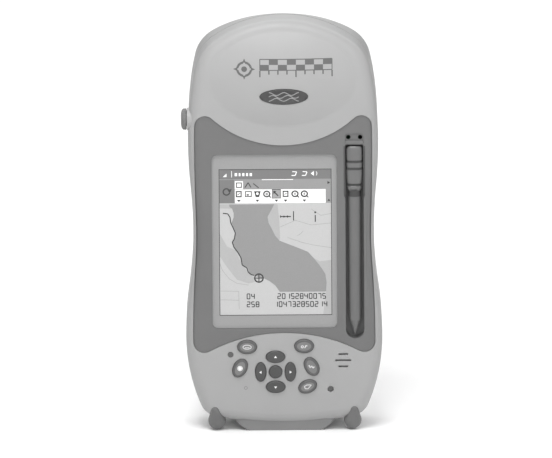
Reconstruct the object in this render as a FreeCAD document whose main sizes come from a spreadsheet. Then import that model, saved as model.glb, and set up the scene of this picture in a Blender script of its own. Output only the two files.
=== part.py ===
import FreeCAD, Part
import math
import os
import Sketcher
from FreeCAD import Vector

# Handheld field data collector. Millimetres. X right, Y back, Z up, z = 0 is the standing base.

SIZES = [
    # casing outline, seen from the front
    ("top_z", 213.4), ("foot_gap", 3.2), ("hip_half", 50.3), ("hip_z", 49.0),
    ("waist_half", 46.2), ("waist_z", 104.0), ("shoulder_half", 48.6), ("shoulder_z", 152.0),
    ("waist_radius", 230.0), ("hip_low_radius", 92.0), ("base_radius", 170.0),
    ("base_corner", 9.5), ("crown_radius", 62.0), ("crown_corner", 22.0),
    ("dome_side_radius", 178.0),
    # casing side profile and walls
    ("front_y", -22.0), ("lean_start_z", 160.0), ("lean_radius", 166.0),
    ("chin_start_z", 12.0), ("chin_radius", 34.0), ("front_fillet", 6.0), ("rear_fillet", 9.2), ("wall", 2.6), ("skin_near", 0.5),
    ("skin_far", 1.5), ("ledge_deep", 4.2), ("part_front_y", 2.6), ("part_rear_y", 3.4),
    # raised dome above the screen
    ("dome_z", 184.5), ("dome_ring", 136.0), ("dome_tube", 58.0),
    ("dome_rise", 3.6), ("dome_tilt", 8.5), ("dome_clip", 4.0), ("dome_blend", 6.0),
    # bezel
    ("bezel_waist_half", 44.5), ("bezel_shoulder_half", 45.3), ("bezel_hip_half", 46.5),
    ("lip_z", 204.0), ("lip_radius", 54.0), ("ear_corner", 5.2),
    ("keypad_arc_z", -30.2), ("keypad_arc_radius", 82.0), ("lobe_corner", 5.5),
    ("bezel_gap", 0.15),
    # screen opening in the bezel
    ("open_x", -4.7), ("open_z", 99.6), ("open_wide", 63.9), ("open_tall", 91.2),
    ("open_corner", 3.0), ("view_x", 0.5), ("view_z", -0.5), ("view_wide", 57.6),
    ("view_tall", 76.8),
    # stylus channel
    ("slot_x", 36.3), ("slot_half", 4.7), ("slot_low", 48.5), ("slot_high", 150.0),
    ("slot_top", 156.0), ("slot_floor_y", -15.5), ("slot_wall", 1.0), ("slot_shelf_y", -20.9),
    ("tether_half", 3.0), ("tether_z", 154.0), ("tether_radius", 1.15),
    # stylus
    ("pen_y", -19.1), ("pen_tip_z", 50.6), ("pen_cone_z", 58.0), ("pen_low_radius", 3.05),
    ("pen_high_radius", 3.25), ("pen_band_z", 123.0), ("pen_head_z", 126.0),
    ("pen_top_z", 149.3), ("pen_band_radius", 3.3), ("pen_head_half", 4.15),
    ("pen_head_deep", 3.2), ("pen_head_corner", 2.4), ("pen_groove_low", 137.6),
    ("pen_groove_high", 141.3), ("pen_groove_tall", 1.2), ("pen_groove_deep", 0.5),
    # keys: shared depths
    ("key_front_y", -23.0), ("key_back_y", -18.1), ("flange_front_y", -19.1),
    ("flange_rim", 0.3), ("key_gap", 0.13), ("key_round", 0.6), ("mat_gap", 0.45),
    ("nav_x", -4.6), ("nav_z", 31.3), ("nav_clear", 12.0),
    # antenna port
    ("port_y", -14.5), ("port_z", 162.6), ("port_radius", 5.8), ("port_face_x", -49.0),
    ("port_root_x", -40.0), ("port_bore", 3.9), ("port_seat_x", -44.0), ("jack_bore", 3.1),
    ("jack_radius", 3.05), ("jack_nose_x", -47.0), ("jack_flange", 4.5),
    ("jack_back_x", -38.8), ("jack_pin_hole", 0.6), ("cap_radius", 5.5), ("cap_in_x", -49.2),
    ("cap_out_x", -52.1), ("cap_plug", 3.5), ("cap_plug_x", -48.0), ("cap_round", 1.6),
    ("hinge_x", -50.4), ("hinge_y", -7.0), ("hinge_hole", 0.65), ("hinge_pin", 0.6),
    ("knuckle", 1.15), ("knuckle_half", 0.75), ("ear_in", 1.05), ("ear_out", 2.3),
    # case fixings
    ("post_low_x", 42.6), ("post_low_z", 30.0), ("post_mid_x", 41.2), ("post_mid_z", 106.0),
    ("post_top_x", 42.4), ("post_top_z", 172.0), ("post_radius", 3.3), ("post_front_y", -8.0),
    ("post_hole", 1.25), ("post_hole_y", -7.0), ("rear_post", 4.2), ("screw_pass", 1.45),
    ("screw_seat_y", 9.0), ("screw_well", 2.6), ("screw_shank", 1.2), ("screw_tip_y", -5.5),
    ("screw_head", 2.3), ("screw_head_y", 11.2), ("drive_radius", 1.1), ("drive_deep", 1.2),
    # board fixings
    ("board_post_left", -35.0), ("board_post_right", 26.0), ("board_post_low", 50.0),
    ("board_post_high", 150.5), ("board_post_radius", 2.4), ("board_front_y", -13.0),
    ("board_back_y", -11.4), ("board_screw", 1.0), ("board_screw_hole", 1.05),
    ("board_clear", 1.2), ("board_screw_tip", -17.5), ("board_head", 1.9),
    ("board_head_y", -10.1),
    # antenna plate posts
    ("plate_post_x", 27.0), ("plate_post_z", 186.0), ("plate_post_front", -19.0),
    ("plate_front_y", -7.0),
    # battery cover
    ("cover_z", 62.0), ("cover_half", 33.0), ("cover_tall_half", 40.0), ("cover_corner", 6.0),
    ("cover_gap", 0.2), ("ledge_inset", 6.0), ("ledge_out", 2.0), ("cover_screw_x", 29.6),
    ("cover_screw_z", 36.6), ("label_half", 22.0), ("label_tall_half", 12.0),
    ("label_z", 66.0), ("label_corner", 2.0), ("cover_screw_hole", 1.0),
    ("cover_screw_shank", 0.95), ("cover_screw_head", 1.8), ("cover_screw_long", 3.6),
    # rear grip grooves
    ("groove_low", 126.0), ("groove_step", 7.0), ("groove_tall", 2.0), ("groove_half", 22.0),
    ("groove_count", 6.0),
    # base
    ("base_half_low", 18.5), ("base_half_mid", 24.8), ("base_mid_z", 4.4),
    ("base_half_high", 29.0), ("base_high_z", 9.2),
    ("base_front_y", -20.0), ("base_back_y", 17.0), ("base_round", 9.0),
    ("dock_half", 14.0), ("dock_front_y", -11.3), ("dock_back_y", -4.7), ("dock_low_z", 1.4),
    ("dock_high_z", 14.0), ("dock_gap", 0.2), ("dock_pin_gap", 2.0), ("dock_pins", 12.0),
    ("dock_pin_half", 0.6), ("dock_pin_deep", 0.8),
    # feet
    ("foot_x", 34.8), ("foot_y", -17.0), ("foot_z", 4.65), ("foot_ball", 4.55),
    ("foot_neck", 1.9), ("foot_neck_x", 35.7), ("foot_neck_y", -20.9), ("foot_neck_z", 11.2), ("foot_gap_all", 0.12),
    ("foot_boss", 7.6), ("foot_boss_z", 18.0), ("stud_radius", 1.2), ("stud_low_z", 4.5),
    ("stud_head", 2.3), ("stud_head_z", 20.0),
    # badge on the dome
    ("badge_x", 0.5), ("badge_z", 176.0), ("badge_half", 12.4), ("badge_tall_half", 4.1),
    ("badge_deep", 0.6), ("badge_rise", 0.15), ("badge_gap", 0.1),
    # small holes in the keypad face
    ("lamp_x", -27.6), ("lamp_z", 40.5), ("lamp_hole", 1.5), ("voice_x", 23.6),
    ("voice_z", 22.0), ("voice_hole", 1.6), ("sound_x", 30.1), ("sound_z", 37.2),
    ("sound_step", 3.25), ("sound_long", 4.1), ("sound_short", 2.5), ("sound_half", 0.5),
    # antenna lead
    ("lead_radius", 0.7), ("lead_bend_x", -31.5), ("lead_end_x", -26.0), ("lead_end_z", 152.0),
    ("lead_end_y", -2.9), ("lead_turn_y", -9.0), ("lead_turn_z", 155.5),
]

# Flat blocks and plates: node, x, z, back y, width, height, thickness, corner radius.
SLABS = [
    ("screen_mask", -4.7, 99.6, -20.2, 65.9, 93.2, 0.3, 3.0),
    ("touch_panel", -4.7, 99.6, -19.0, 65.9, 93.2, 1.2, 2.0),
    ("lcd_module", -4.7, 98.4, -15.0, 64.5, 87.0, 4.0, 1.0),
    ("display_frame", -4.7, 98.4, -14.2, 68.0, 90.0, 0.8, 1.5),
    ("keypad_mat", -4.4, 34.4, -17.7, 49.0, 30.0, 1.7, 4.0),
    ("keypad_board", -4.4, 34.4, -16.0, 49.0, 30.0, 1.0, 2.0),
    ("main_board", 0.0, 95.0, -11.4, 78.0, 120.0, 1.6, 3.0),
    ("processor", -12.0, 122.0, -9.8, 17.0, 17.0, 1.6, 0.6),
    ("memory_chip", 12.0, 122.0, -10.2, 12.0, 18.0, 1.2, 0.4),
    ("board_link", 0.0, 146.0, -2.4, 24.0, 6.0, 9.0, 0.5),
    ("receiver_board", 0.0, 148.0, -0.8, 60.0, 34.0, 1.6, 2.0),
    ("shield_can", 0.0, 149.0, 3.0, 42.0, 26.0, 3.8, 1.2),
    ("antenna_plate", 0.0, 186.0, -6.2, 60.0, 34.0, 0.8, 3.0),
    ("antenna_patch", 0.0, 186.0, -7.0, 30.0, 30.0, 4.5, 0.8),
    ("battery_pack", 0.0, 62.0, 9.0, 53.0, 65.0, 17.0, 3.0),
]

# Round discs: node, x, z, back y, radius, thickness.
DISCS = [
    ("status_lens", -27.6, 40.5, -19.4, 1.45, 2.7),
    ("microphone_mesh", 23.6, 22.0, -19.2, 2.6, 0.2),
    ("microphone", 23.6, 22.0, -17.2, 3.0, 2.0),
    ("speaker_mesh", 30.1, 37.2, -19.2, 6.8, 0.2),
    ("speaker", 30.1, 37.2, -15.6, 7.0, 3.6),
    ("coin_cell", 26.0, 124.0, -8.4, 5.0, 3.0),
]

# Keys: node, x, z, half width, half height, tilt in degrees.
KEYS = [
    ("key_up_left", -19.1, 44.5, 5.05, 3.7, 0.0),
    ("key_up_right", 10.1, 44.8, 5.05, 3.7, 0.0),
    ("key_left", -22.8, 33.4, 5.15, 3.6, 62.0),
    ("key_right", 13.9, 34.0, 5.15, 3.6, -62.0),
    ("key_low_right", 11.8, 23.5, 4.9, 3.45, 22.0),
    ("nav_up", -4.6, 39.2, 5.0, 3.2, 0.0),
    ("nav_down", -4.6, 23.4, 5.0, 3.2, 0.0),
    ("nav_left", -12.2, 31.3, 5.1, 2.9, 90.0),
    ("nav_right", 3.0, 31.3, 5.1, 2.9, 90.0),
    ("nav_centre", -4.6, 31.3, 3.45, 3.4, 0.0),
]

REAR_PROFILE = [(16.0, -6.0), (19.5, 25.0), (19.0, 70.0), (21.5, 105.0), (32.0, 140.0),
                (38.6, 163.0), (37.6, 178.5), (31.6, 192.0), (21.2, 203.2), (8.5, 212.2),
                (-7.0, 219.0)]
PROFILE_LOW_Z = -6.0
PROFILE_HIGH_Z = 225.0
REAR_SAMPLES = 28
FAR = 140.0

os.makedirs("parts", exist_ok=True)
doc = FreeCAD.newDocument("data_collector")
sheet = doc.addObject("Spreadsheet::Sheet", "Sizes")
finished = []


# ---------------------------------------------------------------- the sheet

def table_rows():
    """Every alias and its value, in sheet order."""
    rows = list(SIZES)
    for node, x, z, back, wide, tall, thick, corner in SLABS:
        values = (x, z, back, wide, tall, thick, corner)
        names = ("x", "z", "back", "wide", "tall", "thick", "corner")
        rows += [(node + "_" + name, value) for name, value in zip(names, values)]
    for node, x, z, back, radius, thick in DISCS:
        values = (x, z, back, radius, thick)
        names = ("x", "z", "back", "radius", "thick")
        rows += [(node + "_" + name, value) for name, value in zip(names, values)]
    for node, x, z, wide, tall, tilt in KEYS:
        values = (x, z, wide, tall, tilt)
        names = ("x", "z", "half_wide", "half_tall", "tilt")
        rows += [(node + "_" + name, value) for name, value in zip(names, values)]
    for number, (y, z) in enumerate(REAR_PROFILE):
        rows.append(("rear_point%d_y" % number, y))
        rows.append(("rear_point%d_z" % number, z))
    return rows


def fill_sheet():
    for row, (alias, value) in enumerate(table_rows(), start=1):
        sheet.set("A%d" % row, alias)
        sheet.set("B%d" % row, str(value))
        sheet.setAlias("B%d" % row, alias)
    doc.recompute()


def mm(alias):
    """One number from the sheet."""
    return float(sheet.get(alias))


# ---------------------------------------------------------------- sketch helpers

def origin_plane(body, role):
    for feature in body.Origin.OriginFeatures:
        if feature.Role == role:
            return feature
    raise ValueError(role)


def new_sketch(body, name, role, offset):
    """A sketch on one of the body's own planes, shifted by three expressions."""
    sketch = body.newObject("Sketcher::SketchObject", name)
    sketch.AttachmentSupport = [(origin_plane(body, role), "")]
    sketch.MapMode = "FlatFace"
    for axis, text in zip("xyz", offset):
        sketch.setExpression("AttachmentOffset.Base." + axis, text)
    return sketch


def limit(sketch, constraint, text):
    """Add a constraint whose value is an expression on the sheet."""
    index = sketch.addConstraint(constraint)
    sketch.setExpression("Constraints[%d]" % index, text)


def draw_rectangle(sketch, wide, tall):
    """A rectangle centred on the sketch origin; sizes are expressions."""
    half_x = sketch.evalExpression(wide) / 2
    half_z = sketch.evalExpression(tall) / 2
    corners = [(-half_x, -half_z), (half_x, -half_z), (half_x, half_z), (-half_x, half_z)]
    for number in range(4):
        start = Vector(*corners[number], 0)
        end = Vector(*corners[(number + 1) % 4], 0)
        sketch.addGeometry(Part.LineSegment(start, end))
    for number in range(4):
        sketch.addConstraint(Sketcher.Constraint("Coincident", number, 2, (number + 1) % 4, 1))
    for number, kind in enumerate(("Horizontal", "Vertical", "Horizontal", "Vertical")):
        sketch.addConstraint(Sketcher.Constraint(kind, number))
    sketch.addConstraint(Sketcher.Constraint("Symmetric", 0, 1, 1, 2, -1, 1))
    limit(sketch, Sketcher.Constraint("DistanceX", 0, 1, 0, 2, 2 * half_x), wide)
    limit(sketch, Sketcher.Constraint("DistanceY", 1, 1, 1, 2, 2 * half_z), tall)


def draw_circle(sketch, radius):
    """A circle about the sketch origin; the radius is an expression."""
    value = sketch.evalExpression(radius)
    sketch.addGeometry(Part.Circle(Vector(0, 0, 0), Vector(0, 0, 1), value))
    sketch.addConstraint(Sketcher.Constraint("Coincident", 0, 3, -1, 1))
    limit(sketch, Sketcher.Constraint("Radius", 0, value), radius)


def draw_ellipse(sketch, half_wide, half_tall):
    """An ellipse about the sketch origin; the half sizes are expressions."""
    wide = sketch.evalExpression(half_wide)
    tall = sketch.evalExpression(half_tall)
    shape = Part.Ellipse(Vector(wide, 0, 0), Vector(0, tall, 0), Vector(0, 0, 0))
    sketch.addGeometry(shape)
    sketch.exposeInternalGeometry(0)
    sketch.addConstraint(Sketcher.Constraint("Coincident", 0, 3, -1, 1))
    sketch.addConstraint(Sketcher.Constraint("Horizontal", 1))
    limit(sketch, Sketcher.Constraint("Distance", 1, 2 * wide), "2 * (" + half_wide + ")")
    limit(sketch, Sketcher.Constraint("Distance", 2, 2 * tall), "2 * (" + half_tall + ")")


def draw_profile(sketch, points):
    """A closed outline of straight lines; each corner is a pair of expressions."""
    places = []
    for across, up in points:
        places.append(Vector(sketch.evalExpression(across), sketch.evalExpression(up), 0))
    count = len(points)
    for number in range(count):
        sketch.addGeometry(Part.LineSegment(places[number], places[(number + 1) % count]))
    for number in range(count):
        previous = (number - 1) % count
        sketch.addConstraint(Sketcher.Constraint("Coincident", previous, 2, number, 1))
        for kind, axis, value, text in (("DistanceX", -2, places[number].x, points[number][0]),
                                        ("DistanceY", -1, places[number].y, points[number][1])):
            if abs(value) < 1e-9:
                sketch.addConstraint(Sketcher.Constraint("PointOnObject", number, 1, axis))
            else:
                limit(sketch, Sketcher.Constraint(kind, -1, 1, number, 1, value), text)


def pad(body, sketch, name, length):
    feature = body.newObject("PartDesign::Pad", name)
    feature.Profile = sketch
    feature.setExpression("Length", length)
    return feature


def pocket(body, sketch, name):
    """A cut right through, both ways."""
    feature = body.newObject("PartDesign::Pocket", name)
    feature.Profile = sketch
    feature.Type = "ThroughAll"
    feature.SideType = "Symmetric"
    return feature


def revolve(body, sketch, name, axis):
    feature = body.newObject("PartDesign::Revolution", name)
    feature.Profile = sketch
    feature.ReferenceAxis = (sketch, [axis])
    feature.Angle = 360
    return feature


def round_edges(body, base, name, radius, wanted):
    """Fillet the edges of the last feature that the test picks."""
    doc.recompute()
    edges = []
    for number, edge in enumerate(base.Shape.Edges, start=1):
        if wanted(edge):
            edges.append("Edge%d" % number)
    feature = body.newObject("PartDesign::Fillet", name)
    feature.Base = (base, edges)
    feature.setExpression("Radius", radius)
    return feature


def runs_along_y(edge):
    box = edge.BoundBox
    return box.XLength < 1e-6 and box.ZLength < 1e-6


def keep(item, node):
    """Name a finished piece and note it for export."""
    item.Label = node
    finished.append((item, node))


def keep_shape(shape, node):
    """Hold a shape worked out from the sheet as a document object."""
    item = doc.addObject("Part::Feature", node)
    item.Shape = shape
    item.Placement = FreeCAD.Placement()
    keep(item, node)
    return item


# ---------------------------------------------------------------- casing envelope

def meet(first, first_radius, second, second_radius):
    """Where two circles in the XZ plane cross, on the +X side."""
    gap = second - first
    length = gap.Length
    along = (first_radius ** 2 - second_radius ** 2 + length ** 2) / (2 * length)
    across = math.sqrt(first_radius ** 2 - along ** 2)
    unit = gap * (1 / length)
    middle = first + unit * along
    side = Vector(-unit.z, 0, unit.x) * across
    if side.x < 0:
        side = side * -1
    return middle + side


def touch(centre, radius, toward):
    """The point of a circle that lies toward another point."""
    gap = toward - centre
    return centre + gap * (radius / gap.Length)


def short_arc(centre, radius, start, end):
    """The short arc about a centre between two of its points."""
    middle = (start - centre) + (end - centre)
    middle = centre + middle * (radius / middle.Length)
    return Part.Arc(start, middle, end).toShape()


def blend_radius(half, z, waist_half):
    """Radius of the arc that meets the waist arc and is upright at (half, z)."""
    across = half - waist_half
    up = z - mm("waist_z")
    return (across ** 2 + up ** 2) / (2 * across) - mm("waist_radius")


def front_outline(piece=""):
    """The casing, or the bezel in it, seen from the front: sixteen tangent arcs."""
    waist_half = mm(piece + "waist_half")
    crown_radius = mm("crown_radius")
    crown_corner = mm("crown_corner")
    dome_radius = mm("dome_side_radius")
    hip_low_radius = mm("hip_low_radius")
    base_radius = mm("base_radius")
    base_corner = mm("base_corner")
    waist_radius = mm("waist_radius")
    top = Vector(0, 0, mm("top_z"))
    base = Vector(0, 0, mm("foot_gap"))
    shoulder = Vector(mm(piece + "shoulder_half"), 0, mm("shoulder_z"))
    hip = Vector(mm(piece + "hip_half"), 0, mm("hip_z"))
    crown_centre = Vector(0, 0, top.z - crown_radius)
    dome_centre = Vector(shoulder.x - dome_radius, 0, shoulder.z)
    corner = meet(crown_centre, crown_radius - crown_corner,
                  dome_centre, dome_radius - crown_corner)
    crown_end = touch(crown_centre, crown_radius, corner)
    dome_start = touch(dome_centre, dome_radius, corner)
    waist_centre = Vector(waist_half + waist_radius, 0, mm("waist_z"))
    shoulder_radius = blend_radius(shoulder.x, shoulder.z, waist_half)
    hip_radius = blend_radius(hip.x, hip.z, waist_half)
    shoulder_centre = Vector(shoulder.x - shoulder_radius, 0, shoulder.z)
    hip_centre = Vector(hip.x - hip_radius, 0, hip.z)
    waist_start = touch(shoulder_centre, shoulder_radius, waist_centre)
    waist_end = touch(hip_centre, hip_radius, waist_centre)
    low_centre = Vector(hip.x - hip_low_radius, 0, hip.z)
    base_centre = Vector(0, 0, base.z + base_radius)
    low_corner = meet(low_centre, hip_low_radius - base_corner,
                      base_centre, base_radius - base_corner)
    low_end = touch(low_centre, hip_low_radius, low_corner)
    base_end = touch(base_centre, base_radius, low_corner)
    right = [
        short_arc(corner, crown_corner, crown_end, dome_start),
        short_arc(dome_centre, dome_radius, dome_start, shoulder),
        short_arc(shoulder_centre, shoulder_radius, shoulder, waist_start),
        short_arc(waist_centre, waist_radius, waist_start, waist_end),
        short_arc(hip_centre, hip_radius, waist_end, hip),
        short_arc(low_centre, hip_low_radius, hip, low_end),
        short_arc(low_corner, base_corner, low_end, base_end),
    ]
    left = [edge.mirror(Vector(0, 0, 0), Vector(1, 0, 0)) for edge in right]
    crown = Part.Arc(Vector(-crown_end.x, 0, crown_end.z), top, crown_end).toShape()
    bottom = Part.Arc(base_end, base, Vector(-base_end.x, 0, base_end.z)).toShape()
    return Part.Wire(Part.__sortEdges__([crown] + right + [bottom] + left))


def drawn_in(curve, inset):
    """The rear curve moved toward the front by an inset, as a curve of its own."""
    points = []
    span = curve.LastParameter - curve.FirstParameter
    for step in range(REAR_SAMPLES + 1):
        place = curve.FirstParameter + span * step / REAR_SAMPLES
        along = curve.tangent(place)[0]
        points.append(curve.value(place) + Vector(0, -along.z, along.y) * inset)
    inner = Part.BSplineCurve()
    inner.interpolate(points)
    return inner


def side_outline(inset):
    """The casing seen from the side: flat front leaning back at the top, humped rear."""
    front = mm("front_y") + inset
    start = mm("lean_start_z")
    radius = mm("lean_radius") - inset

    chin_start = mm("chin_start_z")
    chin_radius = mm("chin_radius") - inset

    def lean(z):
        return front + radius - math.sqrt(radius ** 2 - (z - start) ** 2)

    def chin(z):
        return front + chin_radius - math.sqrt(chin_radius ** 2 - (chin_start - z) ** 2)

    middle_z = (start + PROFILE_HIGH_Z) / 2
    chin_z = (chin_start + PROFILE_LOW_Z) / 2
    top_y = lean(PROFILE_HIGH_Z)
    points = []
    for number in range(len(REAR_PROFILE)):
        y = mm("rear_point%d_y" % number)
        z = mm("rear_point%d_z" % number)
        points.append(Vector(0, y, z))
    rear = Part.BSplineCurve()
    rear.interpolate(points)
    if inset > 0:
        rear = drawn_in(rear, inset)
    low_end = rear.value(rear.FirstParameter)
    high_end = rear.value(rear.LastParameter)
    chin_low = Vector(0, chin(PROFILE_LOW_Z), PROFILE_LOW_Z)
    front_low = Vector(0, front, chin_start)
    front_high = Vector(0, front, start)
    top_front = Vector(0, top_y, PROFILE_HIGH_Z)
    edges = [
        Part.Arc(chin_low, Vector(0, chin(chin_z), chin_z), front_low).toShape(),
        Part.LineSegment(front_low, front_high).toShape(),
        Part.Arc(front_high, Vector(0, lean(middle_z), middle_z), top_front).toShape(),
        Part.LineSegment(top_front, high_end).toShape(),
        rear.toShape(),
        Part.LineSegment(low_end, chin_low).toShape(),
    ]
    return Part.Wire(Part.__sortEdges__(edges))


def rim_edges(solid, front):
    """Edges between the front or rear faces and the side faces."""
    picked = []
    for edge in solid.Edges:
        slopes = []
        for face in solid.ancestorsOfType(edge, Part.Face):
            low_u, high_u, low_v, high_v = face.ParameterRange
            normal = face.normalAt((low_u + high_u) / 2, (low_v + high_v) / 2)
            slopes.append(normal.y)
        slopes.sort()
        if len(slopes) < 2:
            continue
        if front and slopes[0] < -0.5 and abs(slopes[1]) < 0.1:
            picked.append(edge)
        if not front and slopes[1] > 0.5 and abs(slopes[0]) < 0.1:
            picked.append(edge)
    return picked


def envelope(inset):
    """The outer form of the casing, drawn in by an inset."""
    face = front_outline()
    side = side_outline(inset)
    if inset > 0:
        face = face.makeOffset2D(-inset)
    wide = Part.Face(face)
    wide.translate(Vector(0, -FAR / 2, 0))
    wide = wide.extrude(Vector(0, FAR, 0))
    deep = Part.Face(side)
    deep.translate(Vector(-FAR / 2, 0, 0))
    deep = deep.extrude(Vector(FAR, 0, 0))
    solid = wide.common(deep).Solids[0]
    solid = solid.makeFillet(mm("front_fillet") - inset, rim_edges(solid, True))
    return solid.makeFillet(mm("rear_fillet") - inset, rim_edges(solid, False))


# ---------------------------------------------------------------- cutting tools

def slab_space(low_y, high_y):
    """All the space between two depths."""
    box = Part.makeBox(2 * FAR, high_y - low_y, 3 * FAR)
    box.translate(Vector(-FAR, low_y, -FAR / 2))
    return box


def round_box(x, z, half_x, half_z, low_y, high_y, corner):
    """A block along Y with rounded upright corners."""
    box = Part.makeBox(2 * half_x, high_y - low_y, 2 * half_z)
    box.translate(Vector(x - half_x, low_y, z - half_z))
    if corner > 0:
        box = box.makeFillet(corner, [edge for edge in box.Edges if runs_along_y(edge)])
    return box


def bar_y(x, z, radius, low_y, high_y):
    """A round bar along Y."""
    return Part.makeCylinder(radius, high_y - low_y, Vector(x, low_y, z), Vector(0, 1, 0))


def bar_x(y, z, radius, low_x, high_x):
    """A round bar along X."""
    return Part.makeCylinder(radius, high_x - low_x, Vector(low_x, y, z), Vector(1, 0, 0))


def oval_y(x, z, half_wide, half_tall, tilt, low_y, high_y):
    """An elliptical bar along Y."""
    curve = Part.Ellipse(Vector(0, 0, 0), half_wide, half_tall)
    face = Part.Face(Part.Wire([curve.toShape()]))
    bar = face.extrude(Vector(0, 0, high_y - low_y))
    bar.rotate(Vector(0, 0, 0), Vector(0, 0, 1), tilt)
    bar.rotate(Vector(0, 0, 0), Vector(1, 0, 0), 90)
    bar.translate(Vector(x, high_y, z))
    return bar


def bezel_block(gap):
    """The bezel's outline as a block along Y, larger by a gap all round."""
    outline = front_outline("bezel_")
    if gap > 0:
        outline = outline.makeOffset2D(gap)
    block = Part.Face(outline)
    block.translate(Vector(0, mm("front_y") - 10, 0))
    block = block.extrude(Vector(0, 20, 0))
    low_y = mm("front_y") - 20
    high_y = mm("front_y") + 30
    lip = bar_y(0, mm("lip_z"), mm("lip_radius") - gap, low_y, high_y)
    arc = bar_y(0, mm("keypad_arc_z"), mm("keypad_arc_radius") - gap, low_y, high_y)
    block = block.cut([lip, arc])
    middle = mm("waist_z")
    block = [solid for solid in block.Solids
             if solid.BoundBox.ZMin < middle < solid.BoundBox.ZMax][0]
    ears = []
    lobes = []
    for edge in block.Edges:
        if not runs_along_y(edge):
            continue
        centre = edge.CenterOfMass
        if centre.z > mm("shoulder_z") + 8 and abs(centre.x) > 30:
            ears.append(edge)
        if centre.z < mm("hip_z") - 8 and abs(centre.x) > 30:
            lobes.append(edge)
    block = block.makeFillet(mm("ear_corner") + gap, ears)
    lobes = [edge for edge in block.Edges
             if runs_along_y(edge) and edge.CenterOfMass.z < mm("hip_z") - 8
             and abs(edge.CenterOfMass.x) > 43]
    return block.makeFillet(mm("lobe_corner") + gap, lobes)


def slot_block(gap, high_z, low_y, high_y):
    """The stylus channel: straight sides, round foot."""
    x = mm("slot_x")
    half = mm("slot_half") + gap
    foot_z = mm("slot_low") + mm("slot_half")
    foot = bar_y(x, foot_z, half, low_y, high_y)
    tall = (high_z + gap - foot_z) / 2
    shaft = round_box(x, foot_z + tall, half, tall, low_y, high_y, 0)
    return foot.fuse(shaft).removeSplitter()


def post_places():
    """Where the case screws stand: x and z."""
    places = []
    for level in ("low", "mid", "top"):
        x = mm("post_" + level + "_x")
        z = mm("post_" + level + "_z")
        places.append((x, z))
        places.append((-x, z))
    return places


def board_places():
    places = []
    for side in ("left", "right"):
        for level in ("low", "high"):
            places.append((mm("board_post_" + side), mm("board_post_" + level)))
    return places


def eye_places():
    """The two eyes for the stylus cord."""
    return [(mm("slot_x") + side * mm("tether_half"), mm("tether_z")) for side in (-1, 1)]


def cover_places():
    places = []
    for side_x in (-1, 1):
        for side_z in (-1, 1):
            x = side_x * mm("cover_screw_x")
            z = mm("cover_z") + side_z * mm("cover_screw_z")
            places.append((x, z))
    return places


def foot_form(side, gap):
    """The rubber foot: a ball drawn up into a neck that leans forward."""
    ball_centre = Vector(side * mm("foot_x"), mm("foot_y"), mm("foot_z"))
    neck_end = Vector(side * mm("foot_neck_x"), mm("foot_neck_y"), mm("foot_neck_z"))
    way = neck_end - ball_centre
    length = way.Length
    ball_radius = mm("foot_ball") + gap
    neck_radius = mm("foot_neck") + gap
    ball = Part.makeSphere(ball_radius, ball_centre)
    lean = (ball_radius - neck_radius) / length
    start = way * (ball_radius * lean / length)
    cone_low = ball_radius * math.sqrt(1 - lean ** 2)
    cone_high = neck_radius * math.sqrt(1 - lean ** 2)
    cone_length = length + (neck_radius - ball_radius) * lean
    cone = Part.makeCone(cone_low, cone_high, cone_length, ball_centre + start, way)
    end = Part.makeSphere(neck_radius, neck_end)
    return ball.fuse([cone, end]).removeSplitter()


# ---------------------------------------------------------------- casing pieces

def dome_solid():
    """The raised oval above the screen: the outside of a large ring, tilted back."""
    ring = mm("dome_ring")
    tube = mm("dome_tube")
    ball = Part.makeTorus(ring, tube)
    tilt = math.radians(mm("dome_tilt"))
    z = mm("dome_z")
    radius = mm("lean_radius")
    start = z - mm("lean_start_z")
    face_y = mm("front_y") + radius - math.sqrt(radius ** 2 - start ** 2)
    back = ring + tube - mm("dome_rise")
    ball.rotate(Vector(0, 0, 0), Vector(1, 0, 0), -mm("dome_tilt"))
    ball.translate(Vector(0, face_y + back * math.cos(tilt), z - back * math.sin(tilt)))
    return ball


def front_form(full):
    """Front half of the casing, solid, with the dome and the antenna port."""
    y = mm("port_y")
    z = mm("port_z")
    half = full.common(slab_space(-FAR, mm("part_front_y")))
    column = Part.Face(front_outline().makeOffset2D(-mm("dome_clip")))
    column.translate(Vector(0, -FAR / 2, 0))
    column = column.extrude(Vector(0, FAR / 2 + mm("post_front_y"), 0))
    dome = dome_solid().common(column)
    port = bar_x(y, z, mm("port_radius"), mm("port_face_x"), mm("port_root_x"))
    whole = half.fuse(dome).removeSplitter().Solids[0]
    creases = [edge for edge in whole.Edges
               if isinstance(edge.Curve, Part.BSplineCurve) and edge.Length > 60
               and edge.BoundBox.YMax < mm("post_front_y")
               and edge.BoundBox.ZMin > mm("shoulder_z")]
    whole = whole.makeFillet(mm("dome_blend"), creases)
    return whole.fuse(port).removeSplitter()


def badge_tool(gap):
    x = mm("badge_x")
    z = mm("badge_z")
    wide = mm("badge_half") + gap
    tall = mm("badge_tall_half") + gap
    return oval_y(x, z, wide, tall, 0, -FAR / 2, mm("front_y") + 8)


def moved(shape, y):
    copy = shape.copy()
    copy.translate(Vector(0, y, 0))
    return copy


def sound_tools(low_y, high_y):
    tools = []
    for step, half in ((-1, "sound_short"), (0, "sound_long"), (1, "sound_short")):
        z = mm("sound_z") + step * mm("sound_step")
        radius = mm("sound_half")
        tool = round_box(mm("sound_x"), z, mm(half), radius, low_y, high_y, radius * 0.98)
        tools.append(tool)
    return tools


def key_tools(low_y, high_y, gap):
    tools = []
    for node in [row[0] for row in KEYS]:
        x = mm(node + "_x")
        z = mm(node + "_z")
        wide = mm(node + "_half_wide") + gap
        tall = mm(node + "_half_tall") + gap
        tools.append(oval_y(x, z, wide, tall, mm(node + "_tilt"), low_y, high_y))
    return tools


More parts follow.
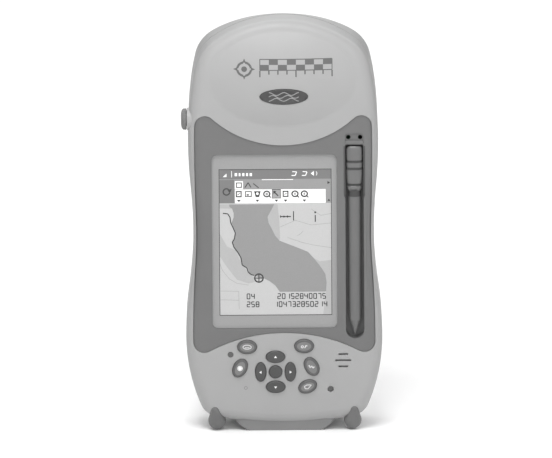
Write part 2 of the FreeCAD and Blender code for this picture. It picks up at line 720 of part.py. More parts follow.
def port_tools():
    """The socket bore, the jack's seat and the pocket of the cap's anchor."""
    y = mm("port_y")
    z = mm("port_z")
    bore = bar_x(y, z, mm("port_bore"), mm("port_face_x") - 5, mm("port_seat_x"))
    seat = bar_x(y, z, mm("jack_bore"), mm("port_seat_x") - 1, mm("port_root_x") + 1)
    return [bore, seat, anchor_block(0.1)]


def anchor_block(gap):
    """The part of the cap's anchor that plugs into the casing wall."""
    z = mm("port_z")
    y = mm("hinge_y") + 3.9
    block = round_box(0, z, 2.4 + gap, 2.4 + gap, y - 2.8 - gap, y + 2.8 + gap, 0)
    block.translate(Vector(mm("port_face_x") + 2.6, 0, 0))
    return block


def build_front_housing(full, inner, behind_bezel, form):
    """Front half shell with bosses, then every opening."""
    wall = mm("wall")
    inside_y = mm("front_y") + wall
    part_y = mm("part_front_y")
    hollow = inner.common(slab_space(-FAR, part_y + 1))
    shell = form.cut(hollow)
    bosses = []
    for x, z in post_places():
        bosses.append(bar_y(x, z, mm("post_radius"), mm("post_front_y"), part_y))
    for x, z in board_places():
        bosses.append(bar_y(x, z, mm("board_post_radius"), inside_y - 0.9, mm("board_front_y")))
    for side in (-1, 1):
        x = side * mm("plate_post_x")
        z = mm("plate_post_z")
        bosses.append(bar_y(x, z, 2.5, mm("plate_post_front"), mm("plate_front_y")))
        foot = Part.makeCylinder(mm("foot_boss"), mm("foot_boss_z"),
                                 Vector(side * mm("foot_x"), mm("foot_y") + 1.4, 0))
        bosses.append(foot.common(full).common(slab_space(-FAR, part_y)))
    port = bar_x(mm("port_y"), mm("port_z"), mm("port_radius"), mm("port_face_x"),
                 mm("port_root_x"))
    bosses.append(port)
    shell = shell.fuse(bosses)
    low = mm("front_y") - 20
    recess = bezel_block(mm("bezel_gap")).cut(behind_bezel)
    window = round_box(mm("open_x"), mm("open_z"), mm("open_wide") / 2 + 1.2,
                       mm("open_tall") / 2 + 1.2, low, inside_y + 2, 2.0)
    trough = slot_block(mm("slot_wall") + 0.1, mm("slot_high"), low, mm("board_front_y"))
    cuts = [recess, window, trough, badge_tool(mm("badge_gap")).cut(moved(form, mm("badge_deep")))]
    cuts += key_tools(low, inside_y + 1, mm("key_gap"))
    cuts += sound_tools(low, inside_y + 1)
    cuts.append(bar_y(mm("lamp_x"), mm("lamp_z"), mm("lamp_hole"), low, inside_y + 1))
    cuts.append(bar_y(mm("voice_x"), mm("voice_z"), mm("voice_hole"), low, inside_y + 1))
    for x, z in eye_places():
        cuts.append(bar_y(x, z, mm("tether_radius") + 0.3, low, inside_y + 1))
    for x, z in post_places():
        cuts.append(bar_y(x, z, mm("post_hole"), mm("post_hole_y"), part_y + 1))
    for x, z in board_places():
        cuts.append(bar_y(x, z, mm("board_screw_hole"), mm("board_screw_tip") - 0.5,
                          mm("board_front_y") + 1))
    for side in (-1, 1):
        cuts.append(foot_form(side, mm("foot_gap_all")))
        cuts.append(stud_bar(side, mm("stud_radius") + 0.05, mm("foot_boss_z") + 1))
    cuts += port_tools()
    cuts.append(dock_block(mm("dock_gap")))
    shell = shell.cut(cuts)
    largest = max(shell.Solids, key=lambda solid: solid.Volume)
    return keep_shape(largest, "front_housing")


def stud_bar(side, radius, high_z):
    low = mm("stud_low_z")
    centre = Vector(side * mm("foot_x"), mm("foot_y"), low)
    return Part.makeCylinder(radius, high_z - low, centre)


def cover_block(gap, low_y, high_y):
    return round_box(0, mm("cover_z"), mm("cover_half") + gap, mm("cover_tall_half") + gap,
                     low_y, high_y, mm("cover_corner") + gap)


def label_block(gap):
    return round_box(0, mm("label_z"), mm("label_half") + gap, mm("label_tall_half") + gap,
                     mm("part_rear_y"), FAR / 2, mm("label_corner"))


def groove_tools(skin):
    tools = []
    for number in range(int(mm("groove_count"))):
        z = mm("groove_low") + number * mm("groove_step")
        bar = round_box(0, z, mm("groove_half"), mm("groove_tall") / 2, mm("part_rear_y"),
                        FAR / 2, 0.9)
        tools.append(bar.cut(skin))
    return tools


def build_rear_housing(full, inner, skins):
    """Rear half shell with its screw posts, battery opening and grip grooves."""
    rear_y = mm("part_rear_y")
    behind = slab_space(rear_y, FAR)
    shell = full.common(behind).cut(inner)
    posts = []
    for x, z in post_places():
        post = bar_y(x, z, mm("rear_post"), mm("part_front_y"), FAR / 2)
        posts.append(post.common(inner))
        posts.append(post.common(full).common(behind))
    ledge = skins[mm("skin_far")].cut(skins[mm("ledge_deep")]).common(behind)
    ledge = ledge.common(cover_block(mm("ledge_out"), rear_y, FAR / 2))
    shell = shell.fuse(posts + [ledge])
    recess = cover_block(mm("cover_gap"), rear_y, FAR / 2).cut(skins[mm("skin_far")])
    window = cover_block(-mm("ledge_inset"), rear_y, FAR / 2)
    cuts = [recess, window]
    for x, z in post_places():
        cuts.append(bar_y(x, z, mm("screw_pass"), 0, mm("screw_seat_y") + 1))
        cuts.append(bar_y(x, z, mm("screw_well"), mm("screw_seat_y"), FAR / 2))
    for x, z in cover_places():
        cuts.append(bar_y(x, z, mm("cover_screw_hole"), rear_y, FAR / 2))
    cuts += groove_tools(skins[mm("skin_near")])
    shell = shell.cut(cuts)
    largest = max(shell.Solids, key=lambda solid: solid.Volume)
    return keep_shape(largest, "rear_housing")


def build_cover(full, skins):
    """Battery cover, its blank label and its screws."""
    rear_y = mm("part_rear_y")
    skin = full.cut(skins[mm("skin_far")])
    cover = skin.common(cover_block(0, rear_y, FAR / 2))
    recess = label_block(0.1).cut(skins[mm("skin_near")])
    label = full.cut(skins[mm("skin_near")]).common(label_block(0))
    heads = []
    screws = []
    for x, z in cover_places():
        seat = rear_surface(skins[mm("skin_far")], x, z)
        heads.append(bar_y(x, z, mm("cover_screw_hole") + 0.1, rear_y, FAR / 2))
        heads.append(bar_y(x, z, mm("cover_screw_head") + 0.15, seat + 0.55, FAR / 2))
        shank = bar_y(x, z, mm("cover_screw_shank"), seat - mm("cover_screw_long") + 1.4,
                      seat + 0.7)
        head = bar_y(x, z, mm("cover_screw_head"), seat + 0.55, seat + 1.35)
        drive = round_box(x, z, 1.3, 0.25, seat + 0.95, seat + 2, 0)
        screws.append(shank.fuse(head).cut(drive).removeSplitter())
    keep_shape(cover.cut([recess] + heads).Solids[0], "battery_cover")
    keep_shape(label.Solids[0], "rear_label")
    keep_shape(Part.makeCompound(screws), "cover_screws")


def rear_surface(solid, x, z):
    """How far back a solid reaches at one place."""
    line = Part.LineSegment(Vector(x, 0, z), Vector(x, FAR / 2, z)).toShape()
    return line.common(solid).BoundBox.YMax


def build_gasket(skins):
    """The seal ring in the gap between the two halves."""
    gap = slab_space(mm("part_front_y"), mm("part_rear_y"))
    ring = skins[mm("skin_near")].common(gap).cut(skins[mm("skin_far")])
    keep_shape(ring.Solids[0], "housing_gasket")


def build_bezel(skins):
    """Dark frame round the screen, with the stylus channel moulded in."""
    block = bezel_block(0)
    skin = skins[mm("skin_near")].common(block).cut(skins[mm("skin_far")])
    skin_y = mm("front_y") + mm("skin_near")
    trough = slot_block(mm("slot_wall"), mm("slot_high"), skin_y,
                        mm("slot_floor_y") + mm("slot_wall"))
    whole = skin.fuse(trough)
    low = mm("front_y") - 20
    opening = round_box(mm("open_x"), mm("open_z"), mm("open_wide") / 2, mm("open_tall") / 2,
                        low, mm("slot_floor_y"), mm("open_corner"))
    channel = slot_block(0, mm("slot_high"), low, mm("slot_floor_y"))
    top_half = (mm("slot_top") - mm("slot_high")) / 2
    shelf = round_box(mm("slot_x"), mm("slot_high") + top_half, mm("slot_half"),
                      top_half, low, mm("slot_shelf_y"), 1.5)
    holes = []
    for x, z in eye_places():
        holes.append(bar_y(x, z, mm("tether_radius"), low, mm("slot_floor_y")))
    whole = whole.cut([opening, channel, shelf] + holes)
    keep_shape(max(whole.Solids, key=lambda solid: solid.Volume), "bezel")


def build_tether_bar():
    """The bar across the head of the channel, where the stylus cord is tied."""
    body = doc.addObject("PartDesign::Body", "tether_bar")
    sketch = new_sketch(body, "tether_bar_outline", "XZ_Plane",
                        ("Sizes.slot_x", "Sizes.slot_high + 1.5", "-Sizes.slot_shelf_y"))
    draw_rectangle(sketch, "2 * Sizes.slot_half - 0.4", "1.8")
    block = pad(body, sketch, "tether_bar_block", "0.9")
    round_edges(body, block, "tether_bar_round", "0.5", runs_along_y)
    keep(body, "tether_bar")


def build_badge(form):
    """Oval badge let into the dome, standing a little proud of it."""
    tool = badge_tool(0)
    badge = moved(form, -mm("badge_rise")).common(tool).cut(moved(form, mm("badge_deep")))
    keep_shape(badge.Solids[0], "badge")


# ---------------------------------------------------------------- plates and discs

def build_slab(node):
    """A rounded plate facing the front."""
    at = "Sizes." + node
    body = doc.addObject("PartDesign::Body", node)
    place = (at + "_x", at + "_z", "-" + at + "_back")
    sketch = new_sketch(body, node + "_outline", "XZ_Plane", place)
    draw_rectangle(sketch, at + "_wide", at + "_tall")
    block = pad(body, sketch, node + "_block", at + "_thick")
    rounded = round_edges(body, block, node + "_corners", at + "_corner", runs_along_y)
    body.Tip = rounded
    keep(body, node)
    return body


def build_disc(node):
    at = "Sizes." + node
    body = doc.addObject("PartDesign::Body", node)
    place = (at + "_x", at + "_z", "-" + at + "_back")
    sketch = new_sketch(body, node + "_outline", "XZ_Plane", place)
    draw_circle(sketch, at + "_radius")
    pad(body, sketch, node + "_disc", at + "_thick")
    keep(body, node)
    return body


def cut_window(body, name, place, wide, tall):
    sketch = new_sketch(body, name + "_outline", "XZ_Plane", place)
    draw_rectangle(sketch, wide, tall)
    pocket(body, sketch, name)


def cut_circle(body, name, place, radius):
    sketch = new_sketch(body, name + "_outline", "XZ_Plane", place)
    draw_circle(sketch, radius)
    pocket(body, sketch, name)


def build_plates():
    """Every flat piece, then the openings some of them have."""
    bodies = {}
    for row in SLABS:
        bodies[row[0]] = build_slab(row[0])
    for row in DISCS:
        build_disc(row[0])
    cut_window(bodies["screen_mask"], "mask_window",
               ("Sizes.open_x + Sizes.view_x", "Sizes.open_z + Sizes.view_z", "0"),
               "Sizes.view_wide", "Sizes.view_tall")
    cut_window(bodies["display_frame"], "frame_window",
               ("Sizes.open_x", "Sizes.display_frame_z", "0"),
               "Sizes.display_frame_wide - 16", "Sizes.display_frame_tall - 16")
    for number, (side, level) in enumerate((("left", "low"), ("left", "high"),
                                            ("right", "low"), ("right", "high"))):
        place = ("Sizes.board_post_" + side, "Sizes.board_post_" + level, "0")
        cut_circle(bodies["main_board"], "board_hole%d" % number, place, "Sizes.board_clear")
    mat = bodies["keypad_mat"]
    cut_circle(mat, "mat_nav_hole", ("Sizes.nav_x", "Sizes.nav_z", "0"), "Sizes.nav_clear")
    for row in KEYS:
        if row[0].startswith("nav_"):
            continue
        at = "Sizes." + row[0]
        sketch = new_sketch(mat, "mat_" + row[0] + "_outline", "XZ_Plane",
                            (at + "_x", at + "_z", "0"))
        sketch.setExpression("AttachmentOffset.Rotation.Angle", at + "_tilt")
        rim = " + Sizes.flange_rim + Sizes.mat_gap"
        draw_ellipse(sketch, at + "_half_wide" + rim, at + "_half_tall" + rim)
        pocket(mat, sketch, "mat_" + row[0] + "_hole")


def build_keys():
    """Ten keys: an oval cap with a rounded face and a rim behind the wall."""
    for row in KEYS:
        node = row[0]
        at = "Sizes." + node
        body = doc.addObject("PartDesign::Body", node)
        cap = new_sketch(body, node + "_cap_outline", "XZ_Plane",
                         (at + "_x", at + "_z", "-Sizes.key_back_y"))
        cap.setExpression("AttachmentOffset.Rotation.Angle", at + "_tilt")
        draw_ellipse(cap, at + "_half_wide", at + "_half_tall")
        block = pad(body, cap, node + "_cap", "Sizes.key_back_y - Sizes.key_front_y")
        front = mm("key_front_y")
        face = round_edges(body, block, node + "_face", "Sizes.key_round",
                           lambda edge: abs(edge.CenterOfMass.y - front) < 1e-3)
        body.Tip = face
        rim = new_sketch(body, node + "_rim_outline", "XZ_Plane",
                         (at + "_x", at + "_z", "-Sizes.key_back_y"))
        rim.setExpression("AttachmentOffset.Rotation.Angle", at + "_tilt")
        draw_ellipse(rim, at + "_half_wide + Sizes.flange_rim",
                     at + "_half_tall + Sizes.flange_rim")
        pad(body, rim, node + "_rim", "Sizes.key_back_y - Sizes.flange_front_y")
        keep(body, node)


# ---------------------------------------------------------------- turned pieces

def build_turned(node, role, place, points, axis):
    """A piece turned about an axis of its sketch."""
    body = doc.addObject("PartDesign::Body", node)
    sketch = new_sketch(body, node + "_profile", role, place)
    draw_profile(sketch, points)
    revolve(body, sketch, node + "_turned", axis)
    keep(body, node)
    return body


def build_stylus():
    place = ("Sizes.slot_x", "0", "-Sizes.pen_y")
    build_turned("stylus_tip", "XZ_Plane", place, [
        ("0", "Sizes.pen_tip_z"), ("0.5", "Sizes.pen_tip_z + 0.2"),
        ("Sizes.pen_low_radius - 0.2", "Sizes.pen_cone_z"), ("0", "Sizes.pen_cone_z")], "V_Axis")
    build_turned("stylus_barrel", "XZ_Plane", place, [
        ("0", "Sizes.pen_cone_z"), ("Sizes.pen_low_radius", "Sizes.pen_cone_z"),
        ("Sizes.pen_high_radius", "Sizes.pen_band_z"), ("0", "Sizes.pen_band_z")], "V_Axis")
    build_turned("stylus_band", "XZ_Plane", place, [
        ("0", "Sizes.pen_band_z"), ("Sizes.pen_band_radius", "Sizes.pen_band_z"),
        ("Sizes.pen_band_radius", "Sizes.pen_head_z"), ("0", "Sizes.pen_head_z")], "V_Axis")
    body = doc.addObject("PartDesign::Body", "stylus_grip")
    sketch = new_sketch(body, "stylus_grip_section", "XY_Plane",
                        ("Sizes.slot_x", "Sizes.pen_y", "Sizes.pen_head_z"))
    draw_rectangle(sketch, "2 * Sizes.pen_head_half", "2 * Sizes.pen_head_deep")
    block = pad(body, sketch, "stylus_grip_block", "Sizes.pen_top_z - Sizes.pen_head_z")
    rounded = round_edges(body, block, "stylus_grip_round", "Sizes.pen_head_corner",
                          lambda edge: edge.BoundBox.XLength < 1e-6
                          and edge.BoundBox.YLength < 1e-6)
    body.Tip = rounded
    for level in ("low", "high"):
        groove = new_sketch(body, "stylus_groove_" + level, "YZ_Plane",
                            ("Sizes.pen_y - Sizes.pen_head_deep", "Sizes.pen_groove_" + level,
                             "Sizes.slot_x"))
        draw_rectangle(groove, "2 * Sizes.pen_groove_deep", "Sizes.pen_groove_tall")
        pocket(body, groove, "stylus_groove_cut_" + level)
    keep(body, "stylus_grip")


def build_antenna_jack():
    place = ("0", "Sizes.port_z", "-Sizes.port_y")
    build_turned("antenna_jack", "XZ_Plane", place, [
        ("Sizes.jack_nose_x", "Sizes.jack_pin_hole"), ("Sizes.jack_nose_x", "Sizes.jack_radius"),
        ("Sizes.port_root_x", "Sizes.jack_radius"), ("Sizes.port_root_x", "Sizes.jack_flange"),
        ("Sizes.jack_back_x", "Sizes.jack_flange"), ("Sizes.jack_back_x", "0"),
        ("Sizes.port_root_x", "0"), ("Sizes.port_root_x", "Sizes.jack_pin_hole")], "H_Axis")


def build_antenna_cap():
    """The port's cap: a domed disc, its plug and the hinge arm."""
    y = mm("port_y")
    z = mm("port_z")
    disc = bar_x(y, z, mm("cap_radius"), mm("cap_out_x"), mm("cap_in_x"))
    outer = [edge for edge in disc.Edges
             if abs(edge.CenterOfMass.x - mm("cap_out_x")) < 1e-3 and edge.Length > 10]
    disc = disc.makeFillet(mm("cap_round"), outer)
    plug = bar_x(y, z, mm("cap_plug"), mm("cap_in_x"), mm("cap_plug_x"))
    half = mm("knuckle_half")
    pivot = Vector(mm("hinge_x"), mm("hinge_y"), z - half)
    knuckle = Part.makeCylinder(mm("knuckle"), 2 * half, pivot)
    arm_low_x = mm("hinge_x") - mm("knuckle")
    arm_back = mm("hinge_y")
    arm_front = y + mm("cap_radius") - 1.2
    arm = Part.makeBox(mm("cap_in_x") - arm_low_x, arm_back - arm_front, 2 * half)
    arm.translate(Vector(arm_low_x, arm_front, z - half))
    whole = disc.fuse([plug, arm, knuckle])
    hole = Part.makeCylinder(mm("hinge_hole"), 4 * half, pivot - Vector(0, 0, half))
    keep_shape(whole.cut(hole).removeSplitter().Solids[0], "antenna_cap")


def build_cap_anchor():
    """The cap's anchor: a block in the casing wall, two ears and the hinge pin."""
    z = mm("port_z")
    pivot = Vector(mm("hinge_x"), mm("hinge_y"), z - mm("ear_out"))
    block = anchor_block(0)
    face_x = mm("port_face_x") + 0.2
    pieces = []
    for low in (z - mm("ear_out"), z + mm("ear_in")):
        tall = mm("ear_out") - mm("ear_in")
        ear = Part.makeCylinder(mm("knuckle"), tall, Vector(pivot.x, pivot.y, low))
        strap = Part.makeBox(face_x + 0.2 - pivot.x + mm("knuckle"), 3.0, tall,
                             Vector(pivot.x - mm("knuckle"), pivot.y, low))
        pieces += [ear, strap]
    pieces.append(Part.makeCylinder(mm("hinge_pin"), 2 * mm("ear_out"), pivot))
    whole = block.fuse(pieces).removeSplitter()
    keep_shape(whole.Solids[0], "cap_anchor")


def build_antenna_lead():
    """Thin coaxial lead from the port to the receiver board: runs joined by arcs."""
    route = [Vector(mm("jack_back_x"), mm("port_y"), mm("port_z")),
             Vector(mm("lead_bend_x"), mm("port_y"), mm("port_z")),
             Vector(mm("lead_end_x"), mm("lead_turn_y"), mm("lead_turn_z")),
             Vector(mm("lead_end_x"), mm("lead_end_y"), mm("lead_end_z"))]
    edges = []
    start = route[0]
    for before, corner, after in zip(route, route[1:], route[2:]):
        back = before - corner
        on = after - corner
        reach = 0.45 * min(back.Length, on.Length)
        back = back * (1 / back.Length)
        on = on * (1 / on.Length)
        enter = corner + back * reach
        leave = corner + on * reach
        half = back.getAngle(on) / 2
        middle = (back + on) * (1 / (back + on).Length)
        depth = reach / math.cos(half) - reach * math.tan(half)
        edges.append(Part.LineSegment(start, enter).toShape())
        edges.append(Part.Arc(enter, corner + middle * depth, leave).toShape())
        start = leave
    edges.append(Part.LineSegment(start, route[-1]).toShape())
    circle = Part.Circle(route[0], Vector(1, 0, 0), mm("lead_radius")).toShape()
    keep_shape(Part.Wire(edges).makePipeShell([Part.Wire([circle])], True, False), "antenna_lead")


# ---------------------------------------------------------------- fixings

def screw_along_y(x, z, names):
    """A screw driven toward the front: shank, head and a drive recess."""
    shank, tip_y, head, seat_y, head_y = [mm(name) for name in names]
    body = bar_y(x, z, shank, tip_y, seat_y)
    cap = bar_y(x, z, head, seat_y, head_y)
    recess = min(mm("drive_deep"), 0.6 * (head_y - seat_y))
    drive = bar_y(x, z, mm("drive_radius") * 0.8, head_y - recess, head_y + 1)
    return body.fuse(cap).cut(drive).removeSplitter()


def build_screws():
    case = []
    for x, z in post_places():
        case.append(screw_along_y(x, z, ("screw_shank", "screw_tip_y", "screw_head",
                                         "screw_seat_y", "screw_head_y")))
    keep_shape(Part.makeCompound(case), "case_screws")
    board = []
    for x, z in board_places():
        board.append(screw_along_y(x, z, ("board_screw", "board_screw_tip", "board_head",
                                          "board_back_y", "board_head_y")))
    keep_shape(Part.makeCompound(board), "board_screws")
    studs = []
    for side in (-1, 1):
        centre = Vector(side * mm("foot_x"), mm("foot_y"), mm("foot_boss_z"))
        head = Part.makeCylinder(mm("stud_head"), mm("stud_head_z") - mm("foot_boss_z"), centre)
        shank = stud_bar(side, mm("stud_radius"), mm("foot_boss_z"))
        studs.append(shank.fuse(head).removeSplitter())
    keep_shape(Part.makeCompound(studs), "foot_studs")


def build_feet():
    for side, node in ((-1, "foot_left"), (1, "foot_right")):
        hole = stud_bar(side, mm("stud_radius") + 0.02, mm("foot_boss_z"))
        keep_shape(foot_form(side, 0).cut(hole).Solids[0], node)


# ---------------------------------------------------------------- base

def dock_block(gap):
    low = Vector(-mm("dock_half") - gap, mm("dock_front_y") - gap, -1)
    deep = mm("dock_back_y") - mm("dock_front_y") + 2 * gap
    return Part.makeBox(2 * (mm("dock_half") + gap), deep, mm("dock_high_z") + 2, low)


def build_base_plate(full):
    """The dark foot plate under the casing, with the connector's opening."""
    low = mm("base_half_low")
    high = mm("base_half_high")
    top = mm("base_high_z")
    y = mm("base_front_y")
    ends = [Vector(-low, y, 0), Vector(low, y, 0), Vector(high, y, top), Vector(-high, y, top)]
    bulges = [Vector(side * mm("base_half_mid"), y, mm("base_mid_z")) for side in (1, -1)]
    edges = [Part.LineSegment(ends[0], ends[1]).toShape(),
             Part.Arc(ends[1], bulges[0], ends[2]).toShape(),
             Part.LineSegment(ends[2], ends[3]).toShape(),
             Part.Arc(ends[3], bulges[1], ends[0]).toShape()]
    wire = Part.Wire(edges)
    deep = mm("base_back_y") - mm("base_front_y")
    plate = Part.Face(wire).extrude(Vector(0, deep, 0))
    column = Part.makeBox(2 * high, deep, 2 * top, Vector(-high, y, -top / 2))
    uprights = [edge for edge in column.Edges if edge.BoundBox.ZLength > top]
    plate = plate.common(column.makeFillet(mm("base_round"), uprights))
    plate = plate.cut([full, dock_block(mm("dock_gap"))])
    keep_shape(max(plate.Solids, key=lambda solid: solid.Volume), "base_plate")


def build_dock_connector():
    """Multi-way connector seen from below: a block with two rows of contacts."""
    body = doc.addObject("PartDesign::Body", "dock_connector")
    middle = "(Sizes.dock_front_y + Sizes.dock_back_y) / 2"
    sketch = new_sketch(body, "dock_outline", "XY_Plane", ("0", middle, "Sizes.dock_low_z"))
    draw_rectangle(sketch, "2 * Sizes.dock_half", "Sizes.dock_back_y - Sizes.dock_front_y")
    pad(body, sketch, "dock_body", "Sizes.dock_high_z - Sizes.dock_low_z")
    first = "-Sizes.dock_pin_gap * (Sizes.dock_pins - 1) / 2"
    hole = new_sketch(body, "dock_contact_outline", "XY_Plane",
                      (first, middle + " - 1.4", "Sizes.dock_low_z"))
    draw_rectangle(hole, "2 * Sizes.dock_pin_half", "1.6")
    cut = body.newObject("PartDesign::Pocket", "dock_contact")
    cut.Profile = hole
    cut.setExpression("Length", "Sizes.dock_pin_deep")
    cut.Reversed = True
    row = body.newObject("PartDesign::LinearPattern", "dock_contact_row")
    row.Originals = [cut]
    row.Direction = (hole, ["H_Axis"])
    row.setExpression("Length", "Sizes.dock_pin_gap * (Sizes.dock_pins - 1)")
    row.setExpression("Occurrences", "Sizes.dock_pins")
    body.Tip = row
    keep(body, "dock_connector")


# ---------------------------------------------------------------- assembly

def build_all():
    fill_sheet()
    full = envelope(0)
    inner = envelope(mm("wall"))
    skins = {}
    for name in ("skin_near", "skin_far", "ledge_deep"):
        skins[mm(name)] = envelope(mm(name))
    form = front_form(full)
    build_front_housing(full, inner, skins[mm("skin_far")], form)
    build_rear_housing(full, inner, skins)
    build_cover(full, skins)
    build_gasket(skins)
    build_bezel(skins)
    build_badge(form)
    build_tether_bar()
    build_plates()
    build_keys()
    build_stylus()
    build_antenna_jack()
    build_antenna_cap()
    build_cap_anchor()
    build_antenna_lead()
    build_screws()
    build_feet()
    build_base_plate(full)
    build_dock_connector()
    doc.recompute()


def check_and_write():
    for item in doc.Objects:
        states = [state for state in item.State if state in ("Invalid", "Error")]
        if states:
            raise RuntimeError(item.Name + " is " + ", ".join(states))
    for item, node in finished:
        shape = item.Shape
        if shape.isNull() or not shape.isValid() or not shape.Solids:
            raise RuntimeError(node + " has no valid solid")
        shape.exportStep("parts/" + node + ".step")


build_all()
check_and_write()
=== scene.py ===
import math

import bmesh
import bpy
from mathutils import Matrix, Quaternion, Vector


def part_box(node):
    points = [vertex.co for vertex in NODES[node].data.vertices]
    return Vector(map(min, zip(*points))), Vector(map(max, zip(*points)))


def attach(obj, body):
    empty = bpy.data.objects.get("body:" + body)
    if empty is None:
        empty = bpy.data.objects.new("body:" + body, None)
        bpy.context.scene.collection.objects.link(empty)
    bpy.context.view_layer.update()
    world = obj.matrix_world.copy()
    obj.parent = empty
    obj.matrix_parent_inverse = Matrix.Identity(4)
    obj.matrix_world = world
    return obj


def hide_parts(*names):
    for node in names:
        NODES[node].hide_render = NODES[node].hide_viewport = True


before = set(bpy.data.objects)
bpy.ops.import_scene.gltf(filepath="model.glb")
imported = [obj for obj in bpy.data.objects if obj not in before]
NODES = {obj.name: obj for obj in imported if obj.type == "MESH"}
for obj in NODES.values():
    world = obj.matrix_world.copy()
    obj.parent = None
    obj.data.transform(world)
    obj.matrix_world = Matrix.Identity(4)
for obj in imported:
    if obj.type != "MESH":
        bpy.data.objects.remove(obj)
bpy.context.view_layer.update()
MM = 0.001

# Metres and degrees; lights as name, place, target, width, height and watts.
CAMERA_LENS = 765.8
CAMERA_DISTANCE = 6.0
CAMERA_AIM = (-0.0039, -0.022, 0.1064)
CAMERA_RISE = 13.0
CAMERA_ROLL = -0.38
WORLD_LIGHT = 0.17
LIGHTS = [
    ("key_light", (-0.06, -0.27, 0.66), (0, 0, 0.16), 0.30, 0.30, 3.0),
    ("fill_light", (1.0, -0.25, 0.5), (0, 0, 0.1), 0.8, 0.8, 3.0),
    ("left_light", (-1.0, -0.2, 0.5), (0, 0, 0.1), 0.8, 0.8, 1.8),
    ("floor_light", (0.0, -0.70, 0.30), (0, -0.60, 0), 1.0, 0.4, 2.6),
    ("front_light", (0.5, -1.7, 1.2), (0.5, -1.7, 0), 2.6, 1.4, 11.0),
    ("sky_light", (0.0, 1.0, 0.9), (0, 1.0, 0), 2.2, 1.5, 18.0),
]
FLOOR_HALF = 6.0
FLOOR_DROP = 0.0001

# Millimetres: the display's picture area, the keys' flat middle, the map scale's two lines.
PICTURE = (-33.0, 60.7, 24.6, 137.5)
KEY_FACE_Y = -22.945
KEY_MIDDLE_Y = (-22.945, -22.925)
SCALE_LOW_Z = 189.5
SCALE_HIGH_Z = 194.9


# ---------------------------------------------------------------- camera and light

def place_camera():
    data = bpy.data.cameras.new("camera")
    data.lens = CAMERA_LENS
    data.clip_start = 0.05
    data.clip_end = 20.0
    camera = bpy.data.objects.new("camera", data)
    bpy.context.scene.collection.objects.link(camera)
    rise = math.radians(CAMERA_RISE)
    back = Vector((0, -math.cos(rise), math.sin(rise)))
    camera.location = Vector(CAMERA_AIM) + back * CAMERA_DISTANCE
    camera.rotation_mode = "QUATERNION"
    turn = (-back).to_track_quat("-Z", "Y")
    camera.rotation_quaternion = turn @ Quaternion((0, 0, 1), math.radians(CAMERA_ROLL))
    bpy.context.scene.camera = camera


def area_light(name, place, target, wide, tall, power):
    data = bpy.data.lights.new(name, "AREA")
    data.shape = "RECTANGLE"
    data.size = wide
    data.size_y = tall
    data.energy = power
    light = bpy.data.objects.new(name, data)
    light.location = place
    way = Vector(target) - Vector(place)
    light.rotation_euler = way.to_track_quat("-Z", "Y").to_euler()
    bpy.context.scene.collection.objects.link(light)


def light_scene():
    world = bpy.data.worlds.new("studio")
    world.use_nodes = True
    back = world.node_tree.nodes["Background"]
    back.inputs["Color"].default_value = (1, 1, 1, 1)
    back.inputs["Strength"].default_value = WORLD_LIGHT
    bpy.context.scene.world = world
    bpy.context.scene.view_settings.view_transform = "Standard"
    for light in LIGHTS:
        area_light(*light)


# ---------------------------------------------------------------- materials

def tone(value, tint=0.0):
    """A near-neutral grey, slightly cool or warm."""
    return (value * (1 + tint), value, value * (1 - tint), 1)


def new_material(name):
    material = bpy.data.materials.new(name)
    material.use_nodes = True
    nodes = material.node_tree.nodes
    return material, nodes, material.node_tree.links, nodes["Principled BSDF"]


def noise(nodes, links, scale, detail, rough=0.5):
    """Noise in the object's own coordinates; scale is per metre."""
    place = nodes.new("ShaderNodeTexCoord")
    texture = nodes.new("ShaderNodeTexNoise")
    texture.inputs["Scale"].default_value = scale
    texture.inputs["Detail"].default_value = detail
    texture.inputs["Roughness"].default_value = rough
    links.new(place.outputs["Object"], texture.inputs["Vector"])
    return texture


def ramp(nodes, links, source, stops):
    """A colour ramp; stops are (position, colour)."""
    node = nodes.new("ShaderNodeValToRGB")
    elements = node.color_ramp.elements
    while len(elements) < len(stops):
        elements.new(0.5)
    for element, (position, colour) in zip(elements, stops):
        element.position = position
        element.color = colour
    links.new(source, node.inputs["Fac"])
    return node


def spread(nodes, links, source, low, high):
    """Map 0..1 to a range."""
    node = nodes.new("ShaderNodeMapRange")
    node.inputs["To Min"].default_value = low
    node.inputs["To Max"].default_value = high
    links.new(source, node.inputs["Value"])
    return node


def bump(nodes, links, source, strength, distance, before=None):
    node = nodes.new("ShaderNodeBump")
    node.inputs["Strength"].default_value = strength
    node.inputs["Distance"].default_value = distance
    links.new(source, node.inputs["Height"])
    if before is not None:
        links.new(before.outputs["Normal"], node.inputs["Normal"])
    return node


def moulded(name, value, rough, grain, deep, mottle=0.05, tint=0.0, coat=0.0):
    """Moulded plastic: spark-eroded grain, faint mottling and handling marks."""
    material, nodes, links, shader = new_material(name)
    fine = noise(nodes, links, grain, 3.0, 0.6)
    broad = noise(nodes, links, 45.0, 4.0, 0.55)
    colour = ramp(nodes, links, broad.outputs["Fac"], [
        (0.25, tone(value * (1 - mottle), tint)), (0.75, tone(value * (1 + mottle), tint))])
    links.new(colour.outputs["Color"], shader.inputs["Base Color"])
    marks = noise(nodes, links, 160.0, 5.0, 0.7)
    gloss = spread(nodes, links, marks.outputs["Fac"], rough - 0.09, rough + 0.09)
    links.new(gloss.outputs["Result"], shader.inputs["Roughness"])
    waves = bump(nodes, links, broad.outputs["Fac"], 0.08, 0.0004)
    skin = bump(nodes, links, fine.outputs["Fac"], deep, 0.00008, waves)
    links.new(skin.outputs["Normal"], shader.inputs["Normal"])
    shader.inputs["Coat Weight"].default_value = coat
    shader.inputs["Coat Roughness"].default_value = 0.12
    return material


